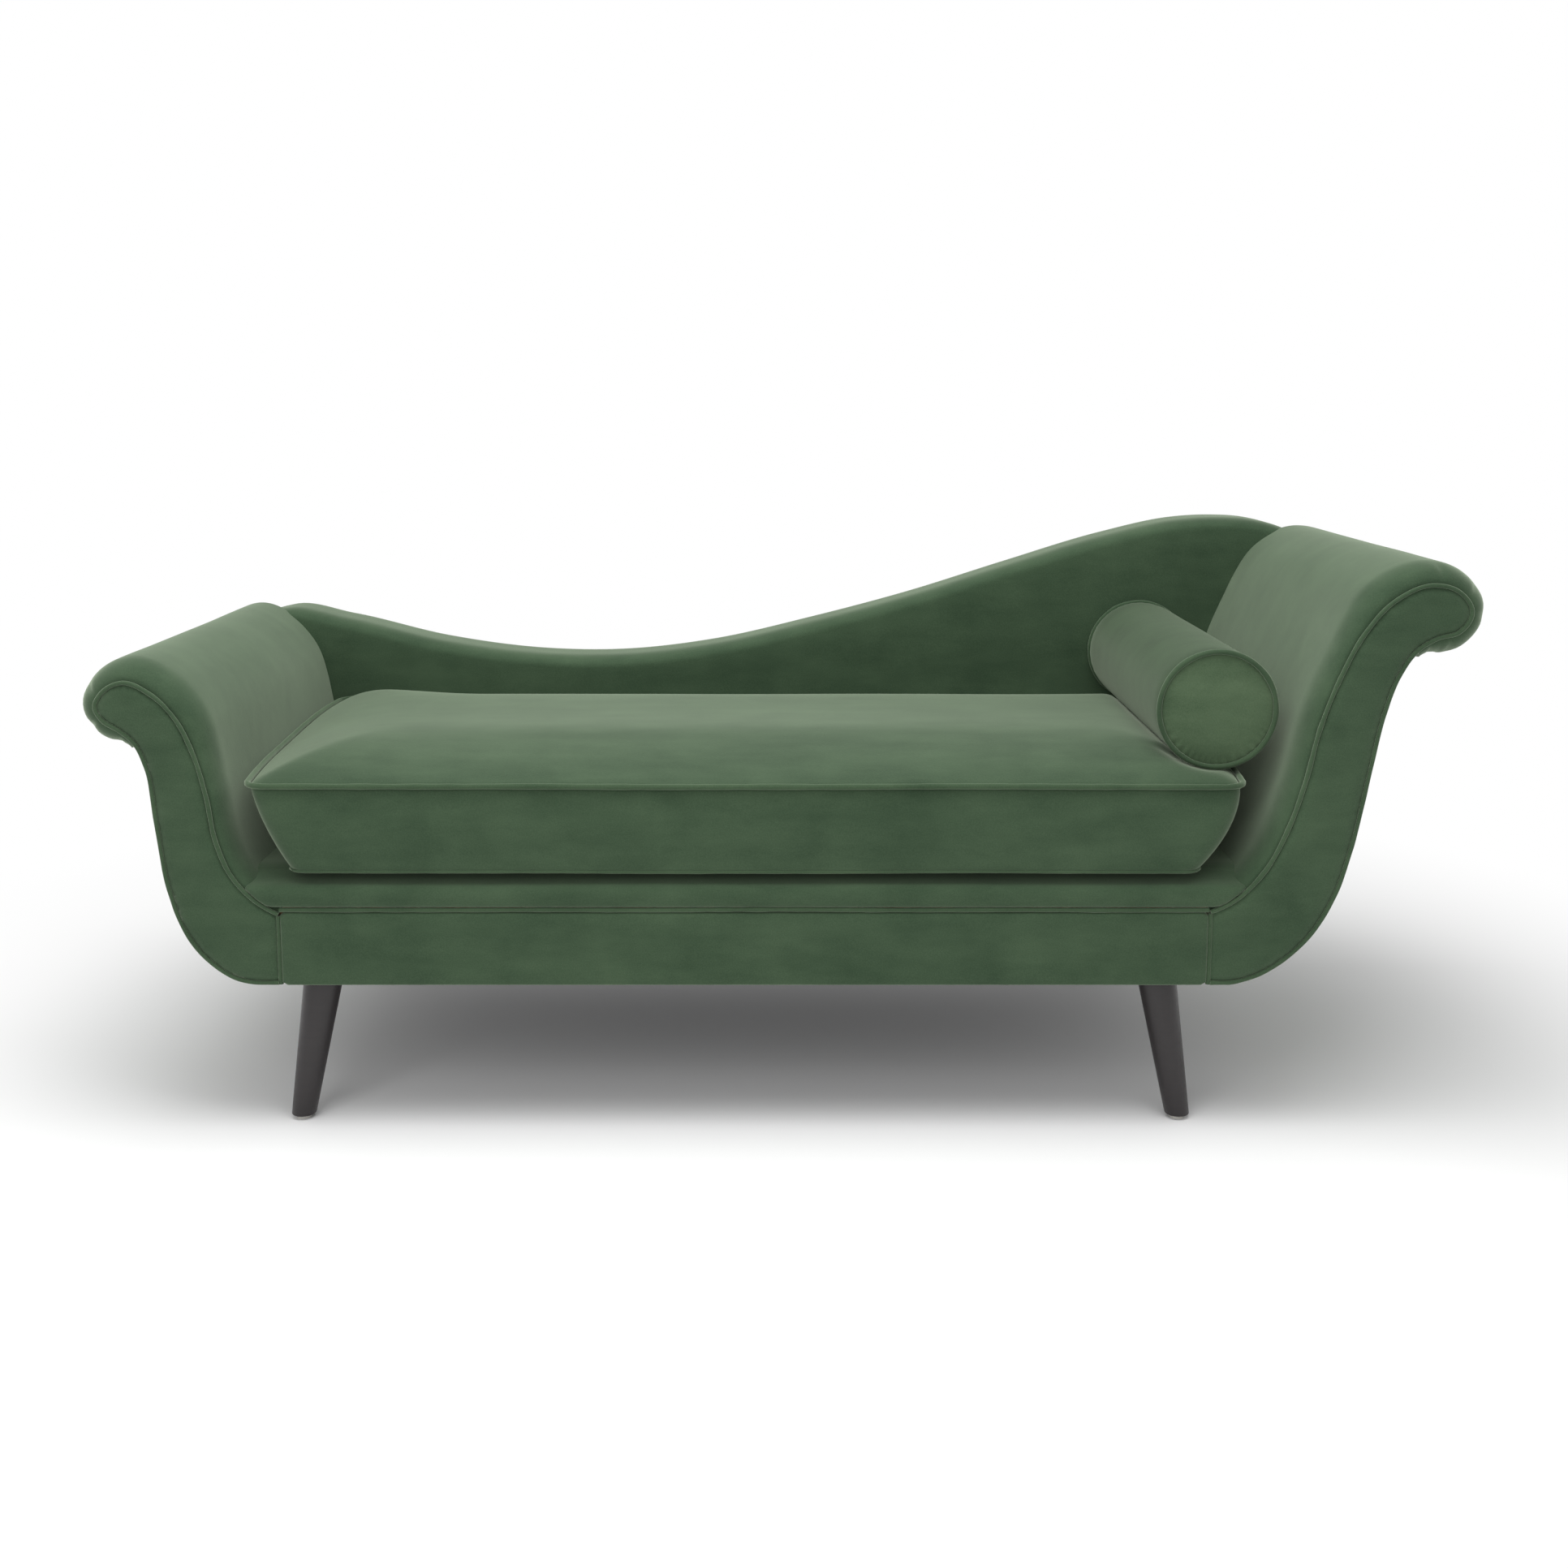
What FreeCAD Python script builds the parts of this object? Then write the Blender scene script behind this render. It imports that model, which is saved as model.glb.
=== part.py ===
# Chaise longue with a low scroll arm on the left, a high one on the right,
# a wave-topped back, one long loose seat cushion, a bolster and four splayed legs.
# Millimetres. +Z up, +X to the high arm, +Y to the back. The origin is on the
# floor under the middle of the box round the whole piece.
import FreeCAD
import Part
import cmath
import math
import os

Vector = FreeCAD.Vector

# Base and overall sizes
base_height = 187.0
front_band_length = 1161.0
depth = 660.0
rail_height = 107.0
rail_thickness = 25.0
base_lift = 3.0
deck_rise = 143.0
band_height = 98.0

# Arm scrolls, each as (outward from the band seam, up from the base),
# from the foot of the inner edge over the head to the foot of the outer edge
low_scroll = [(0, 92), (29, 110), (55, 139), (73, 183), (83, 243), (97, 297), (117, 340),
              (144, 369), (181, 384), (206, 370), (214, 354), (206, 338), (186, 325),
              (167, 308), (155, 280), (146, 213), (133, 121), (116, 70), (87, 31), (54, 9),
              (24, 3.5)]
high_scroll = [(0, 95), (30, 110), (65, 146), (91, 197), (111, 259), (127, 329), (150, 393),
               (177, 446), (210, 484), (258, 504), (288, 496), (305, 471), (291, 447),
               (265, 439), (241, 424), (219, 390), (205, 348), (189, 268), (171, 176),
               (153, 116), (126, 67), (90, 31), (55, 11), (25, 3.5)]

# Top line of the back, from each band seam (+ to the right) and up from the base
back_line_low = [(-146, 401), (-52, 387), (100, 351), (252, 331), (367, 329), (520, 346)]
back_line_high = [(-488, 381), (-335, 422), (-184, 470), (-33, 516), (80, 540), (137, 543),
                  (194, 539), (240, 526)]
back_thickness = 90.0
back_round = 18.0
back_round_depth = 28.0
back_round_shares = (0.0, 0.12, 0.3, 0.6, 1.0)
back_tail_round = 3.0
outside_back_inset = 2.0

# Upholstery layers
clear = 0.3
sliver = 50.0
cloth = 2.5
roll_bulge = 17.0
panel_bulge = 7.0
puff_length = 50.0
puff_shares = (0.3, 0.6, 1.0)
seam_puff = 1.0
pad_depth = 8.0
trim_reach = 4.0
facing_thickness = 14.0
welt_radius = 3.5
outside_panel_thickness = 4.0
deck_pad_thickness = 24.0
nose_radius = 18.0
burlap_thickness = 1.0
webbing_thickness = 1.6
webbing_width = 50.0

# Timber
board_thickness = 18.0
batten_thickness = 17.0
back_frame_depth = 36.0
top_rail_height = 50.0
top_rail_cover = 28.0
post_width = 45.0
post_shares = (0.03, 0.27, 0.51, 0.75, 0.99)
strap_shares = (0.15, 0.39, 0.63, 0.87)
strap_tail = 57.0
strap_lap = 12.5
cross_rail_shares = (0.35, 0.68)
cross_rail_width = 45.0
cross_rail_height = 45.0
corner_block_leg = 140.0
corner_block_height = 45.0

# Springs
wire_radius = 1.9
spring_gap = 0.1
spring_shares = (0.09, 0.21, 0.33, 0.45, 0.57, 0.69, 0.81, 0.93)
spring_half_run = 20.0
spring_bends = 18
clip_length = 26.0
clip_width = 11.0
clip_height = 4.3

# Seat cushion: how far its top seam reaches past the band seams, in front and behind
cushion_top_seam = 111.0
cushion_crown = 46.0
cushion_crown_reach = 150.0
cushion_crown_power = 2.2
crown_shares = (0.0, 0.2, 0.4, 0.6, 0.8, 1.0)
boxing_shares = (0.0, 0.2, 0.5, 0.8, 1.0)
cushion_puff = 5.0
cushion_back_tuck = 14.0
cushion_left_front_over = 36.0
cushion_right_front_over = 38.0
cushion_left_back_over = 48.0
cushion_right_back_over = 72.0
cushion_foot_draw = 46.0
cushion_left_draw = 30.0
cushion_right_draw = 48.0
cushion_bow = 5.0
cushion_corner = 26.0
cushion_least_corner = 9.0
cushion_foot = 8.0
cushion_foot_inset = 14.0
cushion_welt_radius = 4.8
cushion_welt_lift = 1.9
zip_length = 900.0
tape_width = 24.0
tape_thickness = 1.0
coil_width = 6.0
coil_height = 1.4
slider_length = 12.0
slider_width = 9.0
slider_height = 4.0
tab_length = 22.0
tab_width = 6.0
tab_thickness = 1.2

# Bolster
bolster_radius = 76.5
bolster_length = 506.0
bolster_over = 14.0
bolster_set_back = 60.0
bolster_rest = 1.2
bolster_bottom_rise = 10.0
bolster_seam_radius = 73.5
bolster_ease = 30.0
bolster_ease_run = 0.35
bolster_ease_rise = 0.7
bolster_dome = 7.0
bolster_welt_radius = 3.5
bolster_zip_length = 380.0
bolster_zip_angle = -12.0

# Legs
leg_top_radius = 25.0
leg_foot_radius = 15.5
leg_splay = 30.0
leg_rake = 10.0
leg_inset_left = 43.0
leg_inset_right = 56.0
leg_set_back = 52.0
glide_radius = 9.0
glide_height = 5.0
plate_size = 66.0
plate_thickness = 2.5
plate_screw_pitch = 54.0
screw_radius = 2.2
screw_head_radius = 4.2
screw_head_height = 1.5
plate_screw_length = 18.0
frame_screw_length = 60.0
frame_screw_levels = (0.3, 0.7)
block_screw_length = 60.0
block_screw_bite = 20.0
block_screw_level = 0.7
bolt_radius = 4.0
bolt_length = 76.0
dust_cover_thickness = 1.0

# Places that follow from the sizes above
low_reach = max(out for out, up in low_scroll) + roll_bulge
high_reach = max(out for out, up in high_scroll) + roll_bulge
overall_length = front_band_length + low_reach + high_reach
left_seam = low_reach - overall_length / 2
right_seam = overall_length / 2 - high_reach
trim_front = trim_reach - depth / 2
welt_y = trim_front + welt_radius
cover_front = trim_front + 2 * welt_radius + clear
frame_front = trim_front + facing_thickness + clear
panel_front = depth / 2 - outside_panel_thickness
back_front = depth / 2 - back_thickness
cover_back = panel_front - clear
frame_back = cover_back - clear
frame_start = frame_back - back_frame_depth
arm_back = back_front - clear
rail_bottom = base_height + base_lift
rail_top = rail_bottom + rail_height
deck_top = base_height + deck_rise
deck_pad_top = deck_top - cloth
deck_pad_bottom = deck_pad_top - deck_pad_thickness
burlap_top = deck_pad_bottom - clear
band_top = base_height + band_height
cushion_bottom = deck_top + clear
front_rail_back = frame_front + rail_thickness
rail_left = left_seam - pad_depth + clear
rail_right = right_seam + pad_depth - clear
cushion_left_front = left_seam - cushion_left_front_over
cushion_right_front = right_seam + cushion_right_front_over
cushion_left_back = left_seam - cushion_left_back_over
cushion_right_back = right_seam + cushion_right_back_over
bolster_x = right_seam + bolster_over
bolster_front = bolster_set_back - depth / 2


def along_band(shares):
    """Places from the left band seam, as shares of the band's length."""
    return [left_seam + share * front_band_length for share in shares]


# Tangent arcs through chosen points, as complex numbers: across + up * 1j
def dot(first, second):
    return (first.conjugate() * second).real


def unit(vector):
    return vector / abs(vector)


def smooth_tangents(points):
    """Tangent at each point, from the circle through it and its two neighbours."""
    inner = []
    for before, here, after in zip(points, points[1:], points[2:]):
        to_here = here - before
        to_after = after - here
        inner.append(unit(to_here / abs(to_here) ** 2 + to_after / abs(to_after) ** 2))
    first_chord = unit(points[1] - points[0])
    last_chord = unit(points[-1] - points[-2])
    first = 2 * dot(inner[0], first_chord) * first_chord - inner[0]
    last = 2 * dot(inner[-1], last_chord) * last_chord - inner[-1]
    return [first] + inner + [last]


def single_arc(start, tangent, end):
    """Start, middle and end of an arc, each with its tangent."""
    chord = end - start
    turn = cmath.phase(chord / tangent)
    bow = -1j * chord / 2 * math.tan(turn / 2)
    middle = (start + end) / 2 + bow
    return [(start, tangent), (middle, unit(chord)), (end, tangent * cmath.exp(2j * turn))]


def biarc(start, start_tangent, end, end_tangent):
    """Two tangent arcs from one point and direction to another."""
    chord = end - start
    along = dot(chord, start_tangent + end_tangent)
    spread = 2 * (1 - dot(start_tangent, end_tangent))
    if spread < 1e-9:
        reach = abs(chord) ** 2 / (2 * along)
    else:
        reach = (math.sqrt(along ** 2 + spread * abs(chord) ** 2) - along) / spread
    joint = (start + end + reach * (start_tangent - end_tangent)) / 2
    first = single_arc(start, start_tangent, joint)
    return [first, single_arc(joint, first[2][1], end)]


class Curve:
    """A smooth run of tangent arcs. Its left side is outward."""

    def __init__(self, points, tangents=None):
        self.points = [complex(*point) if isinstance(point, tuple) else point for point in points]
        self.tangents = tangents or smooth_tangents(self.points)

    def part(self, first, last):
        """The stretch from one chosen point to another, counted from 0."""
        return Curve(self.points[first:last + 1], self.tangents[first:last + 1])

    def arcs(self, outward=0.0):
        """Start, middle and end points of each arc, moved outward."""
        found = []
        stations = list(zip(self.points, self.tangents))
        for (start, start_tangent), (end, end_tangent) in zip(stations, stations[1:]):
            for arc in biarc(start, start_tangent, end, end_tangent):
                found.append([point + 1j * tangent * outward for point, tangent in arc])
        return found


def edge(points, place):
    """An arc through three points, or a line if they are in line."""
    start, middle, end = [place(point) for point in points]
    if abs(points[1] - (points[0] + points[2]) / 2) < 1e-4:
        return Part.LineSegment(start, end).toShape()
    return Part.Arc(start, middle, end).toShape()


def line(start, end, place):
    return Part.LineSegment(place(start), place(end)).toShape()


def strip_wire(curve, inner, outer, place):
    """Outline between two parallels of a curve."""
    there = curve.arcs(outer)
    back = [arc[::-1] for arc in reversed(curve.arcs(inner))]
    edges = [edge(arc, place) for arc in there]
    edges.append(line(there[-1][2], back[0][0], place))
    edges += [edge(arc, place) for arc in back]
    edges.append(line(back[-1][2], there[0][0], place))
    return Part.Wire(edges)


def prism(wire, y_length):
    return Part.Face(wire).extrude(Vector(0, y_length, 0))


def loft(wires, ruled=True):
    return Part.makeLoft(wires, True, ruled)


def tube(edges, radius):
    """A round tube along joined edges."""
    path = Part.Wire(edges)
    first = edges[0]
    start = first.valueAt(first.FirstParameter)
    direction = first.tangentAt(first.FirstParameter)
    profile = Part.Wire([Part.makeCircle(radius, start, direction)])
    return path.makePipeShell([profile], True, False)


def box(x_range, y_range, z_range):
    size = [high - low for low, high in (x_range, y_range, z_range)]
    return Part.makeBox(*size, Vector(x_range[0], y_range[0], z_range[0]))


def rod(radius, start, end):
    return Part.makeCylinder(radius, (end - start).Length, start, end - start)


def save(name, solids):
    """Write one named piece, or a group of like pieces."""
    shape = solids[0] if len(solids) == 1 else Part.makeCompound(solids)
    shape.exportStep("parts/" + name + ".step")


def carve(solid, tools):
    """Cut one tool after another, and keep the pieces that are more than slivers."""
    for tool in tools:
        solid = solid.cut(tool)
    return [piece for piece in solid.Solids if piece.Volume > sliver]


# Arms
class Arm:
    """One scroll arm. A profile point is outward from the band seam and up from the base."""

    def __init__(self, name, side, seam, points, head_back):
        self.name = name
        self.side = side
        self.seam = seam
        self.profile = Curve(points)
        self.inside = self.profile.part(1, head_back)
        self.outside = self.profile.part(head_back, len(points) - 2)

    def place(self, y):
        return lambda point: Vector(self.seam + self.side * point.real, y,
                                    base_height + point.imag)

    def outline(self, outward, y):
        """Closed outline of the arm, its straight foot sides included."""
        arcs = self.profile.arcs(outward)
        place = self.place(y)
        foot_end = complex(-outward, arcs[-1][2].imag)
        foot_start = complex(-outward, arcs[0][0].imag)
        edges = [edge(arc, place) for arc in arcs]
        edges.append(line(arcs[-1][2], foot_end, place))
        edges.append(line(foot_end, foot_start, place))
        edges.append(line(foot_start, arcs[0][0], place))
        return Part.Wire(edges)

    def slab(self, outward, start, end):
        return prism(self.outline(outward, start), end - start)

    def skin(self, curve, inner, bulge, start, end):
        """A layer that swells from the front seam, with its outer face at the bulge."""
        wires = []
        for y in swell_stations(start, end):
            inner_face = inner(y) if callable(inner) else inner
            wires.append(strip_wire(curve, inner_face, bulge(y), self.place(y)))
        return loft(wires)

    def envelope(self, spare):
        """Everything inside the arm's padded skin, for fitting its neighbours."""
        return loft([self.outline(roll_swell(y) + spare, y)
                     for y in swell_stations(cover_front, arm_back)])


def swell(y, bulge):
    """How far a layer stands out from the seam line, a quarter ellipse behind the seam."""
    share = min(1.0, (y - cover_front) / puff_length)
    return seam_puff + (bulge - seam_puff) * math.sqrt(1 - (1 - share) ** 2)


def roll_swell(y):
    return swell(y, roll_bulge)


def swell_stations(start, end):
    inner = [frame_front] + [cover_front + puff_length * share for share in puff_shares]
    return [start] + [y for y in inner if y > start + clear] + [end]


low_arm = Arm("low_arm", -1, left_seam, low_scroll, 13)
high_arm = Arm("high_arm", 1, right_seam, high_scroll, 14)
arms = [low_arm, high_arm]


def arm_battens(arm):
    """Battens along the arm: three under the padding and one behind the outside panel."""
    last = len(arm.profile.points) - 1
    stretches = [(2, 3), (4, 5), (7, 8), (last - 5, last - 4)]
    battens = []
    for first, end in stretches:
        wire = strip_wire(arm.profile.part(first, end), -pad_depth - batten_thickness,
                          -pad_depth, arm.place(frame_front + board_thickness))
        battens.append(prism(wire, frame_back - frame_front - 2 * board_thickness))
    return battens


def facing_welt(arm):
    """Welt round the facing: over the scroll and up the band seam."""
    place = arm.place(welt_y)
    arcs = arm.profile.arcs()
    end = arcs[-1][2]
    edges = [edge(arc, place) for arc in arcs]
    edges.append(line(end, complex(welt_radius + clear, end.imag), place))
    seam_top = complex(0, arcs[0][0].imag - welt_radius - clear)
    upright = rod(welt_radius, place(complex(0, 0)), place(seam_top))
    return [tube(edges, welt_radius), upright]


# Back
def back_outline_points():
    """Up the low arm's outer edge, along the wave and down the high arm's outer edge."""
    def moved(arm, first, last):
        stretch = arm.profile.part(first, last)
        pairs = zip(stretch.points, stretch.tangents)
        return [arm.seam + arm.side * (point + 1j * tangent * panel_bulge).real
                + (point + 1j * tangent * panel_bulge).imag * 1j for point, tangent in pairs]
    left = moved(low_arm, 10, len(low_scroll) - 2)[::-1]
    right = moved(high_arm, 11, len(high_scroll) - 2)
    wave = [complex(left_seam + x, up) for x, up in back_line_low]
    wave += [complex(right_seam + x, up) for x, up in back_line_high]
    return left, wave, right


left_edge, wave_line, right_edge = back_outline_points()
back_curve = Curve(left_edge + wave_line + right_edge)
back_top_curve = back_curve.part(len(left_edge), len(left_edge) + len(wave_line) - 1)


def back_place(y):
    return lambda point: Vector(point.real, y, base_height + point.imag)


def back_wire(inward, y):
    arcs = back_curve.arcs(-inward)
    edges = [edge(arc, back_place(y)) for arc in arcs]
    edges.append(line(arcs[-1][2], arcs[0][0], back_place(y)))
    return Part.Wire(edges)


def back_body(inset):
    """The padded back with its soft front and top edge, shrunk by an inset."""
    wires = []
    for share in back_round_shares:
        inward = back_round * (1 - math.sqrt(1 - (1 - share) ** 2))
        wires.append(back_wire(inward + inset, back_front + inset + back_round_depth * share))
    wires.append(back_wire(inset, cover_back - 2 * back_tail_round))
    wires.append(back_wire(inset + back_tail_round, cover_back))
    return loft(wires)


def beside_wave(outward, level, start):
    """Space between a parallel of the wave and a level, from a depth backwards."""
    arcs = back_top_curve.arcs(outward)
    place = back_place(start)
    left = complex(arcs[0][0].real, level)
    right = complex(arcs[-1][2].real, level)
    edges = [edge(arc, place) for arc in arcs]
    edges.append(line(arcs[-1][2], right, place))
    edges.append(line(right, left, place))
    edges.append(line(left, arcs[0][0], place))
    return prism(Part.Wire(edges), depth / 2)


def outside_slot(arm):
    """Space that the outside arm panel takes through the back."""
    wire = strip_wire(arm.outside, -pad_depth, panel_bulge + clear + cloth,
                      arm.place(arm_back))
    return prism(wire, depth / 2)


below_deck = box((-overall_length, overall_length), (arm_back, depth),
                 (0, deck_pad_bottom + clear))


# Seat
def profile_yz(points_and_arcs, x_start, x_end):
    """Extrude a Y-Z outline along X. Each item is two points of a line or three of an arc."""
    edges = []
    for item in points_and_arcs:
        vectors = [Vector(x_start, y, z) for y, z in item]
        if len(vectors) == 2:
            edges.append(Part.LineSegment(*vectors).toShape())
        else:
            edges.append(Part.Arc(*vectors).toShape())
    return Part.Face(Part.Wire(edges)).extrude(Vector(x_end - x_start, 0, 0))


def nose(front, top, radius):
    """Arc of the deck's rounded front edge, from its face to its top."""
    corner = (front + radius, top - radius)
    diagonal = radius * math.sqrt(0.5)
    return [(front, corner[1]), (corner[0] - diagonal, corner[1] + diagonal), (corner[0], top)]


def spring_path(x):
    """Zigzag wire from the front rail to the back rail."""
    z = rail_top + wire_radius + spring_gap
    start = frame_front + rail_thickness / 2
    end = frame_start + back_frame_depth / 2
    bend = (end - start) / (2 * spring_bends)
    edges = []
    for number in range(spring_bends + 1):
        y = start + 2 * bend * number
        side = 1 if number % 2 == 0 else -1
        near = Vector(x - side * spring_half_run, y, z)
        far = Vector(x + side * spring_half_run, y, z)
        edges.append(Part.LineSegment(near, far).toShape())
        if number < spring_bends:
            middle = far + Vector(side * bend, bend, 0)
            edges.append(Part.Arc(far, middle, far + Vector(0, 2 * bend, 0)).toShape())
    return edges, start, end


# Cushion outlines in plan
def plan_wire(z, left_front, right_front, left_back, right_back, y_front, y_back, corner):
    """Rounded outline in plan, its sides bowed out behind the front corners."""
    middle = (y_front + y_back) / 2
    slack = corner * (1 - math.sqrt(0.5))

    def arc(*points):
        return Part.Arc(*[Vector(x, y, z) for x, y in points]).toShape()

    front = Part.LineSegment(Vector(left_front + corner, y_front, z),
                             Vector(right_front - corner, y_front, z)).toShape()
    front_right = arc((right_front - corner, y_front),
                      (right_front - slack, y_front + slack), (right_front, y_front + corner))
    right = arc((right_front, y_front + corner), (right_back + cushion_bow, middle),
                (right_back, y_back - corner))
    back_right = arc((right_back, y_back - corner), (right_back - slack, y_back - slack),
                     (right_back - corner, y_back))
    back = Part.LineSegment(Vector(right_back - corner, y_back, z),
                            Vector(left_back + corner, y_back, z)).toShape()
    back_left = arc((left_back + corner, y_back), (left_back + slack, y_back - slack),
                    (left_back, y_back - corner))
    left = arc((left_back, y_back - corner), (left_back - cushion_bow, middle),
               (left_front, y_front + corner))
    front_left = arc((left_front, y_front + corner),
                     (left_front + slack, y_front + slack), (left_front + corner, y_front))
    return Part.Wire([front, front_right, right, back_right, back, back_left, left, front_left])


def cushion_wire(z, outward, share):
    """Cushion outline, moved outward. The share is 0 at the lower seam and 1 at the top one."""
    down = 1 - share
    return plan_wire(z, cushion_left_front + cushion_foot_draw * down - outward,
                     cushion_right_front - cushion_foot_draw * down + outward,
                     cushion_left_back + cushion_left_draw * down - outward,
                     cushion_right_back - cushion_right_draw * down + outward,
                     cushion_front - outward, cushion_back + outward,
                     max(cushion_corner + outward, cushion_least_corner))


welt_reach = math.sqrt((cushion_welt_radius + clear) ** 2 - cushion_welt_lift ** 2)
cushion_front = welt_reach + cushion_welt_radius - depth / 2
cushion_back = back_front - cushion_back_tuck
lower_seam = cushion_bottom + cushion_foot
top_seam = deck_top + cushion_top_seam


def cushion_body(inset):
    """Cushion with its boxing puffed out between the seams and its top crowned."""
    foot = loft([cushion_wire(cushion_bottom + inset, -cushion_foot_inset - inset, 0),
                 cushion_wire(lower_seam, -inset, 0)])
    boxing = []
    for share in boxing_shares:
        z = lower_seam + (top_seam - lower_seam) * share
        puff = cushion_puff * 4 * share * (1 - share)
        boxing.append(cushion_wire(z, puff - inset, share))
    crown = []
    for share in crown_shares:
        z = top_seam + crown_rise(share) * (1 - inset / cushion_crown)
        crown.append(cushion_wire(z, -cushion_crown_reach * share - inset, 1))
    return foot.fuse([loft(boxing), loft(crown)]).removeSplitter()


def crown_rise(share):
    return cushion_crown * (1 - (1 - share) ** cushion_crown_power)


def cushion_welt(z, share):
    """Welt just outside a seam of the cushion, one stretch joined to the next."""
    stretches = [tube([stretch], cushion_welt_radius)
                 for stretch in cushion_wire(z, welt_reach, share).Edges]
    return stretches[0].fuse(stretches[1:]).Solids[0]


def zip_tape(length):
    """Tape with its closed coil, along +X and facing +Z."""
    half = length / 2
    tape = box((-half, half), (-tape_width / 2, tape_width / 2), (0, tape_thickness))
    coil = box((-half, half), (-coil_width / 2, coil_width / 2),
               (tape_thickness, tape_thickness + coil_height))
    return tape.fuse(coil).removeSplitter()


def zip_slider(length):
    """Slider at the closed end of the tape, over the coil, with its pull tab."""
    start = -length / 2
    low = tape_thickness + clear
    high = low + slider_height
    groove_half = coil_width / 2 + clear
    body = box((start, start + slider_length), (-slider_width / 2, slider_width / 2),
               (low, high))
    groove = box((start, start + slider_length), (-groove_half, groove_half),
                 (low, low + coil_height))
    tab_start = start + slider_length
    tab = box((tab_start, tab_start + tab_length), (-tab_width / 2, tab_width / 2),
              (high - tab_thickness, high))
    return body.cut(groove).fuse(tab).removeSplitter()


def turned(shape, x_axis, z_axis, origin):
    """Move a shape so that its own X and Z lie along two directions."""
    rotation = FreeCAD.Rotation(x_axis, z_axis.cross(x_axis), z_axis, "XZY")
    return shape.transformed(FreeCAD.Placement(origin, rotation).Matrix, True)


# Bolster, turned about its own axis along Y
bolster_z = top_seam + bolster_bottom_rise + bolster_radius
bolster_seam_front = bolster_front + bolster_dome
bolster_span = bolster_length - 2 * bolster_dome


def bolster_trough(spare):
    """Space for the bolster, which presses a hollow in the cushion's crown."""
    start = Vector(bolster_x, bolster_front - bolster_rest - spare, bolster_z)
    return rod(bolster_radius + bolster_rest + spare, start, start + Vector(0, depth, 0))


def bolster_turn(outline):
    """Revolve an outline of (radius, distance from the front seam) about the axis."""
    edges = []
    for item in outline:
        vectors = [Vector(bolster_x + radius, bolster_seam_front + along, bolster_z)
                   for radius, along in item]
        if len(vectors) == 2:
            edges.append(Part.LineSegment(*vectors).toShape())
        else:
            edges.append(Part.Arc(*vectors).toShape())
    face = Part.Face(Part.Wire(edges))
    return face.revolve(Vector(bolster_x, 0, bolster_z), Vector(0, 1, 0), 360)


def bolster_side(inset, ends):
    """Points of the bolster's side from front to back, eased in at both seams."""
    seam = bolster_seam_radius - inset
    full = bolster_radius - inset
    eased = seam + (full - seam) * bolster_ease_rise
    quick = bolster_ease * bolster_ease_run
    front = [(seam, ends), (eased, quick), (full, bolster_ease)]
    straight = [(full, bolster_ease), (full, bolster_span - bolster_ease)]
    back = [(full, bolster_span - bolster_ease), (eased, bolster_span - quick),
            (seam, bolster_span - ends)]
    return [front, straight, back]


def reversed_outline(outline):
    return [item[::-1] for item in reversed(outline)]


def dome(radius, height, base):
    """Arc of a domed end, from its middle to its rim."""
    sphere = (radius ** 2 + height ** 2) / (2 * height)
    drop = sphere - math.sqrt(sphere ** 2 - radius ** 2 / 4)
    return [(0, base - height), (radius / 2, base - height + drop), (radius, base)]


def leg_parts(name, x_side, y_side, top_x):
    """Leg, plate, bolt and glide of one corner, with the plate's screws."""
    top_y = y_side * (depth / 2 - leg_set_back)
    top_z = rail_bottom - plate_thickness
    top = Vector(top_x, top_y, top_z)
    foot = Vector(top_x + x_side * leg_splay, top_y + y_side * leg_rake, glide_height)
    upper = Part.Wire([Part.makeCircle(leg_top_radius, top)])
    lower = Part.Wire([Part.makeCircle(leg_foot_radius, foot)])
    leg = loft([lower, upper])
    along = (top - foot).normalize() * (bolt_length / 2)
    bolt = rod(bolt_radius, top - along, top + along)
    half = plate_size / 2
    plate = box((top_x - half, top_x + half), (top_y - half, top_y + half),
                (top_z, rail_bottom))
    pitch = plate_screw_pitch / 2
    screws = []
    for x_step in (-pitch, pitch):
        for y_step in (-pitch, pitch):
            at = top + Vector(x_step, y_step, 0)
            shank = rod(screw_radius, at, at + Vector(0, 0, plate_screw_length))
            head = rod(screw_head_radius, at - Vector(0, 0, screw_head_height), at)
            screws.append(shank.fuse(head).removeSplitter())
    glide = rod(glide_radius, foot - Vector(0, 0, glide_height), foot)
    return {"name": name, "leg": leg.cut(bolt), "bolt": bolt, "glide": glide,
            "plate": carve(plate, screws + [bolt])[0], "screws": screws, "x": top_x, "y": top_y,
            "x_side": x_side, "y_side": y_side}


def corner_block(leg):
    """Triangular block in a corner of the rails, with its two screws."""
    corner_x = rail_left + clear if leg["x_side"] < 0 else rail_right - clear
    corner_y = front_rail_back + clear if leg["y_side"] < 0 else frame_start - clear
    corner = Vector(corner_x, corner_y, rail_bottom)
    along = Vector(-leg["x_side"] * corner_block_leg, 0, 0)
    across = Vector(0, -leg["y_side"] * corner_block_leg, 0)
    wire = Part.makePolygon([corner, corner + along, corner + across, corner])
    block = Part.Face(wire).extrude(Vector(0, 0, corner_block_height))
    reach = block_screw_length - block_screw_bite
    share = 1 - reach / corner_block_leg
    level = Vector(0, 0, corner_block_height * block_screw_level)
    to_rail = corner + along * share + level
    to_end = corner + across * share + level
    screws = [rod(screw_radius, to_rail + across * (reach / corner_block_leg),
                  to_rail - across * (block_screw_bite / corner_block_leg)),
              rod(screw_radius, to_end + along * (reach / corner_block_leg),
                  to_end - along * (block_screw_bite / corner_block_leg))]
    return block, screws


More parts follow.
